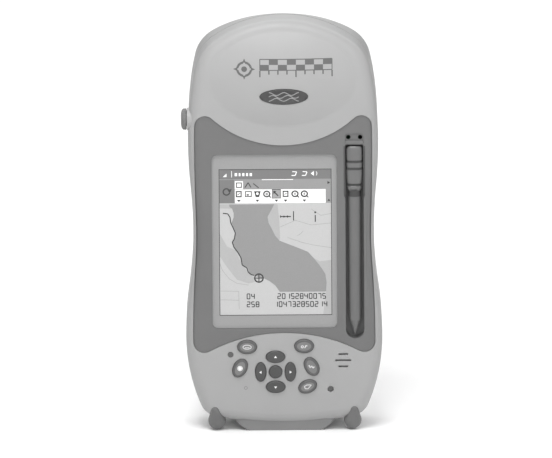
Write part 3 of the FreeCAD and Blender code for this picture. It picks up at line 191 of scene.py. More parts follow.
def metal(name, value, rough=0.3, stretch=(1.0, 1.0, 1.0), tint=0.0):
    """Sheet or turned metal with fine drawn lines."""
    material, nodes, links, shader = new_material(name)
    place = nodes.new("ShaderNodeTexCoord")
    mapping = nodes.new("ShaderNodeMapping")
    mapping.inputs["Scale"].default_value = stretch
    links.new(place.outputs["Object"], mapping.inputs["Vector"])
    lines = nodes.new("ShaderNodeTexNoise")
    lines.inputs["Scale"].default_value = 900.0
    lines.inputs["Detail"].default_value = 4.0
    links.new(mapping.outputs["Vector"], lines.inputs["Vector"])
    colour = ramp(nodes, links, lines.outputs["Fac"], [
        (0.3, tone(value * 0.86, tint)), (0.7, tone(value * 1.1, tint))])
    links.new(colour.outputs["Color"], shader.inputs["Base Color"])
    gloss = spread(nodes, links, lines.outputs["Fac"], rough - 0.08, rough + 0.1)
    links.new(gloss.outputs["Result"], shader.inputs["Roughness"])
    skin = bump(nodes, links, lines.outputs["Fac"], 0.2, 0.00003)
    links.new(skin.outputs["Normal"], shader.inputs["Normal"])
    shader.inputs["Metallic"].default_value = 1.0
    return material


def rubber(name, value, grain=700.0):
    """Moulded rubber: dull, softly pitted, dusty in the hollows."""
    material, nodes, links, shader = new_material(name)
    pits = noise(nodes, links, grain, 5.0, 0.65)
    dust = noise(nodes, links, 90.0, 6.0, 0.7)
    colour = ramp(nodes, links, dust.outputs["Fac"], [
        (0.35, tone(value * 0.85)), (0.62, tone(value)), (0.85, tone(value * 1.45))])
    links.new(colour.outputs["Color"], shader.inputs["Base Color"])
    gloss = spread(nodes, links, dust.outputs["Fac"], 0.62, 0.88)
    links.new(gloss.outputs["Result"], shader.inputs["Roughness"])
    skin = bump(nodes, links, pits.outputs["Fac"], 0.35, 0.0001)
    links.new(skin.outputs["Normal"], shader.inputs["Normal"])
    shader.inputs["Sheen Weight"].default_value = 0.12
    return material


def printed(name, value, rough=0.4, glow=0.0):
    """Printed ink or a lit patch of the display, with a fine grain of its own."""
    material, nodes, links, shader = new_material(name)
    fine = noise(nodes, links, 2600.0, 2.0)
    colour = ramp(nodes, links, fine.outputs["Fac"], [
        (0.3, tone(value * 0.97)), (0.7, tone(value * 1.03))])
    links.new(colour.outputs["Color"], shader.inputs["Base Color"])
    gloss = spread(nodes, links, fine.outputs["Fac"], rough - 0.04, rough + 0.04)
    links.new(gloss.outputs["Result"], shader.inputs["Roughness"])
    if glow > 0:
        links.new(colour.outputs["Color"], shader.inputs["Emission Color"])
        shader.inputs["Emission Strength"].default_value = glow
    return material


def circuit(name):
    """Circuit board: solder resist with a faint pattern of tracks."""
    material, nodes, links, shader = new_material(name)
    place = nodes.new("ShaderNodeTexCoord")
    cells = nodes.new("ShaderNodeTexVoronoi")
    cells.inputs["Scale"].default_value = 260.0
    cells.distance = "MANHATTAN"
    links.new(place.outputs["Object"], cells.inputs["Vector"])
    colour = ramp(nodes, links, cells.outputs["Distance"], [
        (0.2, (0.02, 0.07, 0.04, 1)), (0.55, (0.035, 0.11, 0.06, 1))])
    links.new(colour.outputs["Color"], shader.inputs["Base Color"])
    gloss = spread(nodes, links, cells.outputs["Distance"], 0.28, 0.4)
    links.new(gloss.outputs["Result"], shader.inputs["Roughness"])
    skin = bump(nodes, links, cells.outputs["Distance"], 0.2, 0.00004)
    links.new(skin.outputs["Normal"], shader.inputs["Normal"])
    return material


# ---------------------------------------------------------------- mesh helpers

def link_mesh(name, mesh, body, smooth=True):
    if smooth:
        mesh.shade_smooth()
    piece = bpy.data.objects.new(name, mesh)
    bpy.context.scene.collection.objects.link(piece)
    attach(piece, body)
    return piece


def sharpen(mesh, degrees):
    """Hard edges stay hard under smooth shading."""
    mesh.set_sharp_from_angle(angle=math.radians(degrees))


def set_materials(piece, *materials):
    piece.data.materials.clear()
    for material in materials:
        piece.data.materials.append(material)


def stack_rings(name, rings):
    """A closed skin through rings of points, each ring the same count."""
    mesh = bpy.data.meshes.new(name)
    build = bmesh.new()
    rows = []
    for ring in rings:
        rows.append([build.verts.new(point) for point in ring])
    count = len(rows[0])
    for low, high in zip(rows, rows[1:]):
        for number in range(count):
            after = (number + 1) % count
            build.faces.new((low[number], low[after], high[after], high[number]))
    build.faces.new(list(reversed(rows[0])))
    build.faces.new(rows[-1])
    bmesh.ops.recalc_face_normals(build, faces=build.faces)
    build.to_mesh(mesh)
    build.free()
    return mesh


class Layers:
    """Flat printed shapes in one mesh, each a thin plate with its own material."""

    def __init__(self, surface, thick=0.00003):
        self.build = bmesh.new()
        self.surface = surface
        self.thick = thick
        self.materials = []

    def polygon(self, points, material, lift=0.0):
        if material not in self.materials:
            self.materials.append(material)
        index = self.materials.index(material)
        front = []
        back = []
        for x, z in points:
            y = self.surface(x * MM, z * MM)
            front.append(self.build.verts.new((x * MM, y - self.thick - lift * MM, z * MM)))
            back.append(self.build.verts.new((x * MM, y - lift * MM, z * MM)))
        faces = [self.build.faces.new(front), self.build.faces.new(list(reversed(back)))]
        count = len(front)
        for number in range(count):
            after = (number + 1) % count
            faces.append(self.build.faces.new(
                (front[after], front[number], back[number], back[after])))
        for face in faces:
            face.material_index = index

    def box(self, x, z, wide, tall, material, lift=0.0):
        self.polygon([(x - wide / 2, z - tall / 2), (x + wide / 2, z - tall / 2),
                      (x + wide / 2, z + tall / 2), (x - wide / 2, z + tall / 2)],
                     material, lift)

    def disc(self, x, z, wide, tall, material, lift=0.0, count=28):
        points = []
        for number in range(count):
            angle = 2 * math.pi * number / count
            points.append((x + wide * math.cos(angle), z + tall * math.sin(angle)))
        self.polygon(points, material, lift)

    def ring(self, x, z, wide, tall, line, material, lift=0.0, start=0.0, end=360.0):
        """An open or closed oval line, as short straight plates."""
        steps = max(6, int((end - start) / 12))
        for number in range(steps):
            a = math.radians(start + (end - start) * number / steps)
            b = math.radians(start + (end - start) * (number + 1) / steps)
            self.polygon([
                (x + wide * math.cos(a), z + tall * math.sin(a)),
                (x + wide * math.cos(b), z + tall * math.sin(b)),
                (x + (wide - line) * math.cos(b), z + (tall - line) * math.sin(b)),
                (x + (wide - line) * math.cos(a), z + (tall - line) * math.sin(a))],
                material, lift)

    def line(self, points, wide, material, lift=0.0):
        """A drawn line through points."""
        for (x0, z0), (x1, z1) in zip(points, points[1:]):
            length = math.hypot(x1 - x0, z1 - z0)
            across = ((z0 - z1) / length * wide / 2, (x1 - x0) / length * wide / 2)
            self.polygon([(x0 + across[0], z0 + across[1]), (x0 - across[0], z0 - across[1]),
                          (x1 - across[0], z1 - across[1]), (x1 + across[0], z1 + across[1])],
                         material, lift)

    def finish(self, name, body):
        bmesh.ops.recalc_face_normals(self.build, faces=self.build.faces)
        mesh = bpy.data.meshes.new(name)
        self.build.to_mesh(mesh)
        self.build.free()
        link_mesh(name, mesh, body, smooth=False)
        for material in self.materials:
            mesh.materials.append(material)


# ---------------------------------------------------------------- surfaces of CAD nodes

def surface_of(node, side=-1):
    """A function giving y of a node's front (side -1) or rear (side 1) surface at (x, z)."""
    thing = NODES[node]
    shift = thing.matrix_world
    back = shift.inverted()

    def height(x, z):
        start = back @ Vector((x, 0.2 * side, z))
        way = (back.to_3x3() @ Vector((0, -side, 0))).normalized()
        hit, place, _, _ = thing.ray_cast(start, way)
        if not hit:
            raise ValueError("no surface of " + node)
        return (shift @ place).y

    return height


# ---------------------------------------------------------------- keys

KEYS = {
    "key_up_left": (5.05, 3.7, 0.0), "key_up_right": (5.05, 3.7, 0.0),
    "key_left": (5.15, 3.6, 62.0), "key_right": (5.15, 3.6, -62.0),
    "key_low_right": (4.9, 3.45, 22.0), "nav_up": (5.0, 3.2, 0.0),
    "nav_down": (5.0, 3.2, 180.0), "nav_left": (5.1, 2.9, 90.0),
    "nav_right": (5.1, 2.9, -90.0), "nav_centre": (3.45, 3.4, 0.0),
}
KEY_RINGS = [(-0.3, -18.1), (-0.3, -19.1), (0.0, -19.1), (0.0, -22.25), (0.05, -22.5),
             (0.2, -22.74), (0.45, -22.92), (0.8, -23.0), (1.1, -22.98), (1.4, -22.94),
             (1.9, -22.93), (2.5, -22.94)]


def key_outline(half_wide, half_tall, tilt, count=72):
    """Points round a key, an oval turned by its tilt."""
    points = []
    turn = math.radians(tilt)
    for number in range(count):
        angle = 2 * math.pi * number / count
        x = half_wide * math.cos(angle)
        z = half_tall * math.sin(angle)
        points.append((x * math.cos(turn) - z * math.sin(turn),
                       x * math.sin(turn) + z * math.cos(turn)))
    return points


def build_key(node, material, middle):
    """A key's cap with a rolled rim and a dished middle; returns its centre in mm."""
    low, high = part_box(node)
    centre_x = (low[0] + high[0]) / 2
    centre_z = (low[2] + high[2]) / 2
    half_wide, half_tall, tilt = KEYS[node]
    rings = []
    for inset, y in KEY_RINGS:
        ring = []
        for x, z in key_outline(half_wide - inset, half_tall - inset, tilt):
            ring.append((centre_x + x * MM, y * MM, centre_z + z * MM))
        rings.append(ring)
    mesh = stack_rings(node + "_cap", rings)
    sharpen(mesh, 50)
    piece = link_mesh(node + "_cap", mesh, node + "_button")
    set_materials(piece, material, middle)
    for face in mesh.polygons:
        if KEY_MIDDLE_Y[0] < face.center.y / MM < KEY_MIDDLE_Y[1]:
            face.material_index = 1
    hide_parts(node)
    return centre_x / MM, centre_z / MM


def draw_key_mark(node, centre, ink):
    """A small generic mark on a key."""
    x, z = centre
    marks = Layers(lambda x, z: KEY_FACE_Y * MM)
    if node == "key_up_left":
        marks.ring(x, z + 0.1, 2.3, 1.25, 0.38, ink)
        marks.line([(x - 1.2, z - 0.2), (x + 1.2, z - 0.2)], 0.35, ink)
    elif node == "key_up_right":
        marks.ring(x - 0.9, z - 0.2, 0.75, 0.75, 0.4, ink)
        marks.line([(x + 0.3, z - 0.9), (x + 0.9, z + 0.5), (x + 1.6, z + 0.2)], 0.5, ink)
    elif node == "key_left":
        marks.ring(x, z, 1.35, 1.35, 0.35, ink)
        marks.disc(x, z, 0.85, 0.85, ink)
    elif node == "key_right":
        marks.line([(x - 1.4, z + 0.9), (x - 0.7, z - 0.4), (x, z + 0.5), (x + 0.7, z - 0.6),
                    (x + 1.4, z + 0.1)], 0.6, ink)
    elif node == "key_low_right":
        marks.line([(x - 1.7, z + 0.2), (x - 1.2, z - 1.0), (x + 0.2, z - 1.0),
                    (x + 1.9, z + 1.0), (x - 0.3, z + 1.0), (x - 1.7, z + 0.2)], 0.42, ink)
    else:
        ways = {"nav_up": (0, 1), "nav_down": (0, -1), "nav_left": (-1, 0), "nav_right": (1, 0)}
        right, up = ways[node]
        tip = (x + 0.8 * right, z + 0.8 * up)
        side = (up * 0.75, right * 0.75)
        marks.polygon([tip, (x - 0.4 * right + side[0], z - 0.4 * up + side[1]),
                       (x - 0.4 * right - side[0], z - 0.4 * up - side[1])], ink)
    marks.finish(node + "_mark", node + "_button")


def build_keys():
    rim = moulded("key_grey", 0.085, 0.42, 1900.0, 0.15)
    middle = moulded("key_pale", 0.165, 0.42, 1900.0, 0.15)
    dark = moulded("key_black", 0.055, 0.38, 1900.0, 0.12)
    ink = printed("key_ink", 0.62)
    pale = printed("key_pale_ink", 0.8)
    for node in KEYS:
        if node.startswith("nav"):
            centre = build_key(node, dark, dark)
            if node != "nav_centre":
                draw_key_mark(node, centre, pale)
        else:
            centre = build_key(node, rim, middle)
            draw_key_mark(node, centre, pale if node == "key_left" else ink)


# ---------------------------------------------------------------- screen

def build_screen():
    """The display's picture under the touch panel: a map with a track and a toolbar."""
    low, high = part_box("touch_panel")
    x0, z0, x1, z1 = PICTURE
    glass_y = low[1]
    corner = 2.0 * MM
    rings = []
    for inset, y in ((0.0, high[1]), (0.0, glass_y + 0.15 * MM), (0.15 * MM, glass_y)):
        ring = []
        for centre_x, centre_z, start in (
                (high[0] - corner, high[2] - corner, 0), (low[0] + corner, high[2] - corner, 90),
                (low[0] + corner, low[2] + corner, 180), (high[0] - corner, low[2] + corner, 270)):
            for step in range(7):
                angle = math.radians(start + 15 * step)
                reach = corner - inset
                ring.append((centre_x + reach * math.cos(angle), y,
                             centre_z + reach * math.sin(angle)))
        rings.append(ring)
    mesh = stack_rings("touch_glass", rings)
    sharpen(mesh, 30)
    glass = link_mesh("touch_glass", mesh, "case")
    set_materials(glass, printed("display_back", 0.30, 0.2))
    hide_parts("touch_panel")

    land = printed("map_land", 0.435, 0.22, 0.07)
    water = printed("map_water", 0.235, 0.22, 0.035)
    bar = printed("title_bar", 0.155, 0.22, 0.03)
    tools = printed("tool_row", 0.25, 0.22, 0.05)
    white = printed("tool_white", 0.80, 0.22, 0.12)
    dark = printed("map_dark", 0.035, 0.22)
    mid = printed("map_mid", 0.29, 0.22, 0.04)
    soft = printed("map_soft", 0.36, 0.22, 0.06)
    art = Layers(lambda x, z: glass_y, 0.00002)
    art.box((x0 + x1) / 2, (z0 + z1) / 2, x1 - x0, z1 - z0, land)
    draw_land(art, water, soft, mid)
    for x in (x0 + 0.15, x1 - 0.15):
        art.line([(x, z0), (x, z1)], 0.3, dark, 0.12)
    for z in (z0 + 0.15, z1 - 0.15):
        art.line([(x0, z), (x1, z)], 0.3, dark, 0.12)
    art.box((x0 + x1) / 2, 134.85, x1 - x0, 5.3, bar, 0.06)
    art.box((x0 + x1) / 2, 125.9, x1 - x0, 12.6, tools, 0.06)
    art.box(-28.95, 125.8, 7.7, 12.1, bar, 0.08)
    art.box(-1.6, 123.2, 46.3, 7.2, white, 0.08)
    art.box(-22.7, 129.1, 4.2, 4.2, white, 0.08)
    draw_tools(art, dark, white, mid)
    track = [(-31.0, 114.4), (-28.5, 114.1), (-27.4, 112.3), (-27.0, 109.3), (-25.9, 107.0),
             (-24.7, 104.0), (-25.2, 101.0), (-26.3, 99.2), (-25.5, 96.6), (-23.3, 93.6),
             (-21.9, 90.9), (-21.3, 87.2), (-19.0, 85.7), (-18.2, 83.4), (-16.8, 82.2),
             (-15.2, 81.7)]
    art.line(track, 0.55, dark, 0.06)
    art.ring(-12.8, 80.3, 2.5, 2.5, 0.7, dark, 0.06)
    art.line([(-15.0, 80.3), (-10.6, 80.3)], 0.5, dark, 0.08)
    art.line([(-12.8, 78.1), (-12.8, 82.5)], 0.5, dark, 0.08)
    digits(art, -18.9, 70.7, "04", dark)
    digits(art, -18.9, 66.5, "258", dark)
    digits(art, -3.2, 70.7, "20152840075", dark)
    digits(art, -4.8, 66.5, "104732850214", dark)
    art.finish("screen_picture", "case")


def draw_land(art, water, soft, mid):
    """Water, shallows, paths and contour lines of a made-up map."""
    lake = [(-27.7, 119.0), (-4.7, 119.0), (-6.6, 115.3), (-8.2, 112.3), (-7.7, 109.3),
            (-5.8, 105.6), (-4.4, 102.6), (-2.2, 99.9), (2.2, 98.1), (8.0, 95.8),
            (12.4, 93.9), (15.3, 90.6), (18.3, 86.8), (21.2, 82.3), (21.8, 77.8),
            (21.5, 73.0), (-2.2, 73.0), (-4.4, 76.3), (-7.3, 78.6), (-10.2, 80.1),
            (-13.1, 80.8), (-17.5, 82.7), (-18.6, 85.7), (-21.2, 87.2), (-22.3, 91.3),
            (-24.8, 95.1), (-26.1, 98.8), (-24.8, 103.3), (-25.2, 106.3), (-26.6, 109.3),
            (-25.5, 112.3), (-25.5, 114.5), (-26.3, 116.8), (-27.7, 117.9)]
    patches = [
        [(-4.7, 119.0), (-3.0, 119.0), (-2.2, 110.0), (-1.8, 101.2), (-2.2, 99.9),
         (-4.4, 102.6), (-5.8, 105.6), (-7.7, 109.3), (-8.2, 112.3), (-6.6, 115.3)],
        [(15.3, 90.6), (18.3, 88.9), (24.4, 89.6), (24.4, 61.0), (20.0, 61.0),
         (21.5, 73.0), (21.8, 77.8), (21.2, 82.3), (18.3, 86.8)],
        [(-32.8, 119.0), (-27.7, 119.0), (-27.7, 117.9), (-26.3, 116.8), (-32.8, 117.0)],
        [(-32.8, 92.0), (-29.0, 86.0), (-24.0, 79.5), (-18.0, 77.5), (-13.1, 78.6),
         (-17.5, 82.7), (-21.2, 87.2), (-24.8, 95.1), (-29.0, 97.0), (-32.8, 104.0)],
    ]
    for patch in patches:
        art.polygon(patch, soft, 0.02)
    art.polygon(lake, water, 0.03)
    lines = [
        [(-32.8, 88.2), (-31.4, 84.4), (-28.0, 80.0), (-24.0, 77.6), (-18.0, 76.6)],
        [(-32.5, 73.6), (-23.2, 73.4), (-23.0, 64.0)],
        [(-32.5, 69.0), (-23.2, 68.7)],
        [(7.0, 102.4), (8.6, 103.4), (10.0, 104.8)],
        [(2.0, 101.5), (9.0, 99.0), (15.0, 97.5), (24.4, 96.0)],
        [(-1.8, 107.0), (6.0, 110.5), (14.0, 108.0), (24.4, 109.0)],
        [(14.0, 116.5), (19.0, 113.0), (24.4, 114.0)],
    ]
    for points in lines:
        art.line(points, 0.2, mid, 0.04)


def draw_tools(art, dark, white, mid):
    """Plain tool marks on the two bars, and the scale and north marks on the map."""
    art.ring(-29.1, 125.6, 2.0, 2.0, 0.7, dark, 0.1, 40, 340)
    art.polygon([(-28.6, 126.6), (-26.4, 127.1), (-27.4, 124.8)], dark, 0.12)
    art.box(-22.7, 129.1, 3.0, 2.8, dark, 0.1)
    art.box(-22.7, 129.1, 2.0, 1.8, white, 0.12)
    art.line([(-15.4, 130.0), (-12.6, 127.6)], 0.45, dark, 0.1)
    art.line([(-19.6, 127.8), (-18.0, 130.4), (-16.6, 127.9)], 0.5, dark, 0.1)
    art.line([(-11.0, 131.9), (5.0, 131.9)], 0.35, white, 0.1)
    z = 124.4
    for number, x in enumerate((-22.8, -17.9, -13.3, -8.5, -3.6, 1.1, 5.9, 10.7)):
        if number in (0, 5):
            art.box(x, z, 3.0, 3.3, dark, 0.1)
            art.box(x, z, 1.8, 2.0, white, 0.12)
            art.line([(x - 0.6, z - 0.4), (x + 0.6, z + 0.5)], 0.35, dark, 0.14)
        elif number == 1:
            art.box(x, z, 3.5, 3.1, dark, 0.1)
            art.box(x, z, 2.5, 2.1, white, 0.12)
            art.box(x - 0.3, z - 0.4, 1.2, 0.8, dark, 0.14)
        elif number == 4:
            art.box(x, z, 4.6, 4.8, dark, 0.09)
            art.box(x, z, 4.0, 4.2, mid, 0.1)
            art.line([(x - 1.2, z + 1.2), (x + 0.9, z - 1.0)], 0.6, dark, 0.12)
            art.polygon([(x - 1.6, z + 1.6), (x - 1.5, z - 0.1), (x + 0.1, z + 1.5)], dark, 0.12)
        elif number == 2:
            art.polygon([(x - 1.7, z + 1.5), (x + 1.7, z + 1.5), (x + 0.9, z - 1.6),
                         (x - 0.9, z - 1.6)], dark, 0.1)
            art.disc(x, z + 0.2, 0.7, 0.7, white, 0.12)
        else:
            art.ring(x, z, 1.9, 1.8, 0.75, dark, 0.1)
            art.disc(x, z, 0.75 if number == 3 else 0.5, 0.7, mid, 0.12)
            art.line([(x + 1.2, z - 1.1), (x + 2.1, z - 1.9)], 0.6, dark, 0.1)
        if number in (0, 2, 4, 5, 7):
            art.polygon([(x - 1.05, 121.4), (x + 1.05, 121.4), (x, 120.2)], dark, 0.1)
    art.polygon([(22.5, 129.4), (22.5, 131.0), (23.9, 130.2)], dark, 0.1)
    art.polygon([(22.5, 120.6), (23.9, 120.6), (23.2, 121.8)], dark, 0.1)
    art.polygon([(-30.9, 133.4), (-29.0, 133.4), (-29.0, 135.2)], white, 0.08)
    art.line([(-26.4, 133.2), (-26.4, 136.5)], 0.3, white, 0.08)
    for number, wide in enumerate((1.3, 0.9, 1.1, 1.0, 1.2)):
        art.box(-24.2 + number * 1.9, 134.6, wide, 1.6, white, 0.08)
    for x in (5.5, 10.8):
        art.line([(x - 1.3, 134.0), (x + 0.6, 134.0), (x + 1.3, 135.9)], 0.45, white, 0.08)
        art.line([(x - 0.9, 136.0), (x + 1.3, 135.9)], 0.4, white, 0.08)
    art.polygon([(14.0, 135.0), (15.6, 136.3), (15.6, 133.7)], white, 0.08)
    art.ring(15.6, 135.0, 1.7, 1.7, 0.3, white, 0.08, -40, 40)
    art.line([(-1.6, 112.5), (3.8, 112.5)], 0.5, dark, 0.06)
    for x in (-1.6, 0.2, 2.0):
        art.line([(x, 111.9), (x, 113.1)], 0.4, dark, 0.06)
    art.line([(5.1, 110.4), (5.1, 115.3)], 0.5, dark, 0.06)
    art.line([(16.2, 109.6), (16.2, 113.2)], 0.55, dark, 0.06)
    art.box(16.2, 114.6, 0.9, 0.9, dark, 0.06)


SEGMENTS = {"0": "abcdef", "1": "bc", "2": "abged", "3": "abgcd", "4": "fgbc", "5": "afgcd",
            "7": "abc", "8": "abcdefg"}


def digits(art, x, z, text, material):
    """Plain seven-segment figures."""
    wide, tall, line, step = 1.4, 2.6, 0.45, 2.3
    for number, figure in enumerate(text):
        left = x + number * step
        ends = {
            "a": ((left, z + tall / 2), (left + wide, z + tall / 2)),
            "b": ((left + wide, z + tall / 2), (left + wide, z)),
            "c": ((left + wide, z), (left + wide, z - tall / 2)),
            "d": ((left, z - tall / 2), (left + wide, z - tall / 2)),
            "e": ((left, z), (left, z - tall / 2)),
            "f": ((left, z + tall / 2), (left, z)),
            "g": ((left, z), (left + wide, z)),
        }
        for segment in SEGMENTS[figure]:
            art.line(ends[segment], line, material, 0.06)


# ---------------------------------------------------------------- printed marks

def draped_line(art, points, wide, ink):
    """A line split into short plates, so that it follows a curved surface."""
    for (x0, z0), (x1, z1) in zip(points, points[1:]):
        steps = max(1, int(math.hypot(x1 - x0, z1 - z0) / 1.2))
        places = [(x0 + (x1 - x0) * n / steps, z0 + (z1 - z0) * n / steps)
                  for n in range(steps + 1)]
        art.line(places, wide, ink)


def build_dome_marks():
    """A survey target and a map scale across the dome, and a ring by the keypad."""
    ink = printed("dome_ink", 0.10, 0.5)
    art = Layers(surface_of("front_housing"), 0.00005)
    cx, cz = -19.6, 190.0
    for number in range(4):
        start = number * 90 + 9
        points = []
        for step in range(9):
            angle = math.radians(start + step * 72 / 8)
            points.append((cx + 3.5 * math.cos(angle), cz + 3.3 * math.sin(angle)))
        draped_line(art, points, 1.1, ink)
    for step in range(12):
        angle = math.radians(step * 30)
        after = math.radians(step * 30 + 30)
        art.polygon([(cx, cz), (cx + 1.5 * math.cos(angle), cz + 1.4 * math.sin(angle)),
                     (cx + 1.5 * math.cos(after), cz + 1.4 * math.sin(after))], ink)
    for right, up in ((1, 0), (-1, 0), (0, 1), (0, -1)):
        art.polygon([(cx + 5.6 * right, cz + 5.2 * up),
                     (cx + 3.4 * right + 0.9 * up, cz + 3.2 * up + 0.9 * right),
                     (cx + 3.4 * right - 0.9 * up, cz + 3.2 * up - 0.9 * right)], ink)
    left, step, tall = -11.6, 4.6, 2.7
    for number in range(8):
        for row in range(2):
            if (number + row) % 2 == 0:
                z = SCALE_LOW_Z + row * tall
                for part in range(4):
                    x = left + number * step + part * step / 4
                    art.polygon([(x, z), (x + step / 4, z), (x + step / 4, z + tall),
                                 (x, z + tall)], ink)
    for z in (SCALE_LOW_Z, SCALE_HIGH_Z):
        draped_line(art, [(left, z), (left + 8 * step, z)], 0.45, ink)
    tick_z = SCALE_LOW_Z - 0.2
    for number in range(9):
        x = left + number * step
        deep = 3.2 if number % 4 == 0 else 1.9
        draped_line(art, [(x, tick_z), (x, tick_z - deep)], 0.7, ink)
    for x in (left, left + 8 * step):
        draped_line(art, [(x, SCALE_LOW_Z), (x, SCALE_HIGH_Z)], 0.45, ink)
    art.finish("dome_marks", "case")
    art = Layers(surface_of("front_housing"), 0.00005)
    art.ring(-19.9, 22.9, 0.9, 0.9, 0.3, printed("reset_ink", 0.2, 0.5))
    art.finish("reset_mark", "case")


def build_badge():
    """Dark oval badge with a raised rim and plain contour lines."""
    low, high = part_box("badge")
    cx = (low[0] + high[0]) / 2
    cz = (low[2] + high[2]) / 2
    half_wide = (high[0] - low[0]) / 2
    half_tall = (high[2] - low[2]) / 2
    front = surface_of("badge")
    rings = []
    for scale, lift in ((1.0, 0.55), (1.0, 0.03), (0.985, -0.03), (0.955, -0.03), (0.935, 0.04),
                        (0.90, 0.06), (0.6, 0.05), (0.25, 0.05)):
        ring = []
        for number in range(72):
            angle = 2 * math.pi * number / 72
            x = cx + half_wide * scale * math.cos(angle)
            z = cz + half_tall * scale * math.sin(angle)
            y = front(cx + (x - cx) * 0.985, cz + (z - cz) * 0.985)
            ring.append((x, y + lift * MM, z))
        rings.append(ring)
    mesh = stack_rings("badge_plate", rings)
    sharpen(mesh, 60)
    plate = link_mesh("badge_plate", mesh, "case")
    set_materials(plate, moulded("badge_black", 0.030, 0.25, 900.0, 0.05, coat=0.4))
    ink = printed("badge_ink", 0.26, 0.35)
    art = Layers(lambda x, z: front(x, z) + 0.06 * MM, 0.00004)
    for shift in (-1.5, 0.0, 1.5):
        points = []
        for step in range(25):
            x = cx / MM - 7.6 + step * 15.2 / 24
            z = cz / MM + shift + 0.75 * math.sin(step * 0.52 + shift)
            points.append((x, z))
        art.line(points, 0.42, ink)
    art.finish("badge_lines", "case")
    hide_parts("badge")


def build_rear_marks():
    """Blank rating label with a plain frame."""
    ink = printed("label_ink", 0.20, 0.5)
    art = Layers(surface_of("rear_label", 1), -0.00003)
    cz = 66.0
    for x0, z0, x1, z1 in ((-20, -10, 20, -10), (20, -10, 20, 10), (20, 10, -20, 10),
                           (-20, 10, -20, -10), (-20, 3.5, 20, 3.5)):
        draped_line(art, [(x0, cz + z0), (x1, cz + z1)], 0.35, ink)
    art.finish("label_frame", "case")


# ---------------------------------------------------------------- stylus and cap

def build_stylus():
    """Grip with grooves and a collar; the stylus's other nodes keep their form."""
    low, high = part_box("stylus_grip")
    cx = (low[0] + high[0]) / 2
    cy = (low[1] + high[1]) / 2
    half_x = (high[0] - low[0]) / 2
    half_y = (high[1] - low[1]) / 2
    z0, z1 = low[2], high[2]
    levels = [(0.0, 0.78), (0.6, 0.80), (0.9, 0.88), (2.2, 0.90), (2.5, 0.80), (3.6, 0.80),
              (3.9, 0.92), (5.4, 0.94), (6.0, 0.97), (8.6, 1.0), (10.9, 1.0), (11.2, 0.93),
              (12.0, 0.93), (12.3, 1.0), (14.6, 1.0), (14.9, 0.93), (15.7, 0.93), (16.0, 1.0),
              (20.6, 1.0), (22.0, 0.97), (22.9, 0.88), (23.3, 0.74)]
    rings = []
    for height, scale in levels:
        ring = []
        for number in range(48):
            angle = 2 * math.pi * number / 48
            reach = 1 / (abs(math.cos(angle)) ** 2.8 + abs(math.sin(angle)) ** 2.8) ** (1 / 2.8)
            ring.append((cx + half_x * scale * reach * math.cos(angle),
                         cy + half_y * scale * reach * math.sin(angle),
                         min(z0 + height * MM, z1)))
        rings.append(ring)
    mesh = stack_rings("stylus_head", rings)
    sharpen(mesh, 35)
    head = link_mesh("stylus_head", mesh, "stylus")
    set_materials(head, moulded("pen_black", 0.125, 0.36, 1400.0, 0.15),
                  rubber("pen_inlay", 0.05))
    for face in mesh.polygons:
        height = (face.center.z - z0) / MM
        if 2.4 < height < 3.8 or 11.0 < height < 12.2 or 14.7 < height < 15.9:
            face.material_index = 1
    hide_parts("stylus_grip")


def build_painted_slot_shade():
    """Painted shade: dark lines on the bezel beside the pen's head, standing in for the shade down
    in the slot, so that the slot looks wider there.
    """
    art = Layers(surface_of("bezel"), 0.00004)
    # This dark ink is painted shade of the slot's gap, not a print on the bezel.
    ink = printed("painted_slot_shade_ink", 0.045, 0.5)
    for x, inner in ((31.15, 31.75), (41.45, 40.85)):
        draped_line(art, [(x, 149.4), (x, 123.6)], 0.6, ink)
        draped_line(art, [(x, 123.6), (inner, 122.4)], 0.6, ink)
    art.finish("painted_slot_shade", "case")


def build_cap():
    """Rubber port cap with a ribbed rim and the arm of its hinge."""
    low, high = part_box("antenna_cap")
    cy = low[1] + 5.5 * MM
    cz = (low[2] + high[2]) / 2
    out = low[0] / MM
    rings = []
    profile = [(4.05, 3.5, 0), (2.95, 3.5, 0), (2.9, 5.2, 0), (2.65, 5.5, 1), (1.45, 5.5, 1),
               (1.1, 5.35, 1), (0.55, 4.7, 0), (0.2, 3.8, 0), (0.03, 2.6, 0), (0.22, 1.8, 0),
               (0.26, 0.9, 0)]
    for x, radius, ribbed in profile:
        ring = []
        for number in range(96):
            angle = 2 * math.pi * number / 96
            reach = radius - (0.2 if ribbed and number % 4 < 2 else 0.0)
            ring.append(((out + x) * MM, cy + reach * MM * math.cos(angle),
                         cz + reach * MM * math.sin(angle)))
        rings.append(ring)
    mesh = stack_rings("port_cap_disc", rings)
    build = bmesh.new()
    build.from_mesh(mesh)
    arm = [(0.6, 4.3), (2.3, 4.3), (2.4, 6.6), (2.65, 7.5), (2.35, 8.4), (1.7, 8.6),
           (0.9, 8.3), (0.55, 7.5)]
    arm = [((out + x) * MM, cy + y * MM) for x, y in arm]
    half = 0.75 * MM
    bottom = [build.verts.new((x, y, cz - half)) for x, y in arm]
    top = [build.verts.new((x, y, cz + half)) for x, y in arm]
    build.faces.new(list(reversed(bottom)))
    build.faces.new(top)
    for number in range(len(arm)):
        after = (number + 1) % len(arm)
        build.faces.new((bottom[number], bottom[after], top[after], top[number]))
    bmesh.ops.recalc_face_normals(build, faces=build.faces)
    build.to_mesh(mesh)
    build.free()
    sharpen(mesh, 40)
    cap = link_mesh("port_cap_rubber", mesh, "port_cap")
    set_materials(cap, rubber("cap_rubber", 0.17))
    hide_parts("antenna_cap")


# ---------------------------------------------------------------- CAD nodes

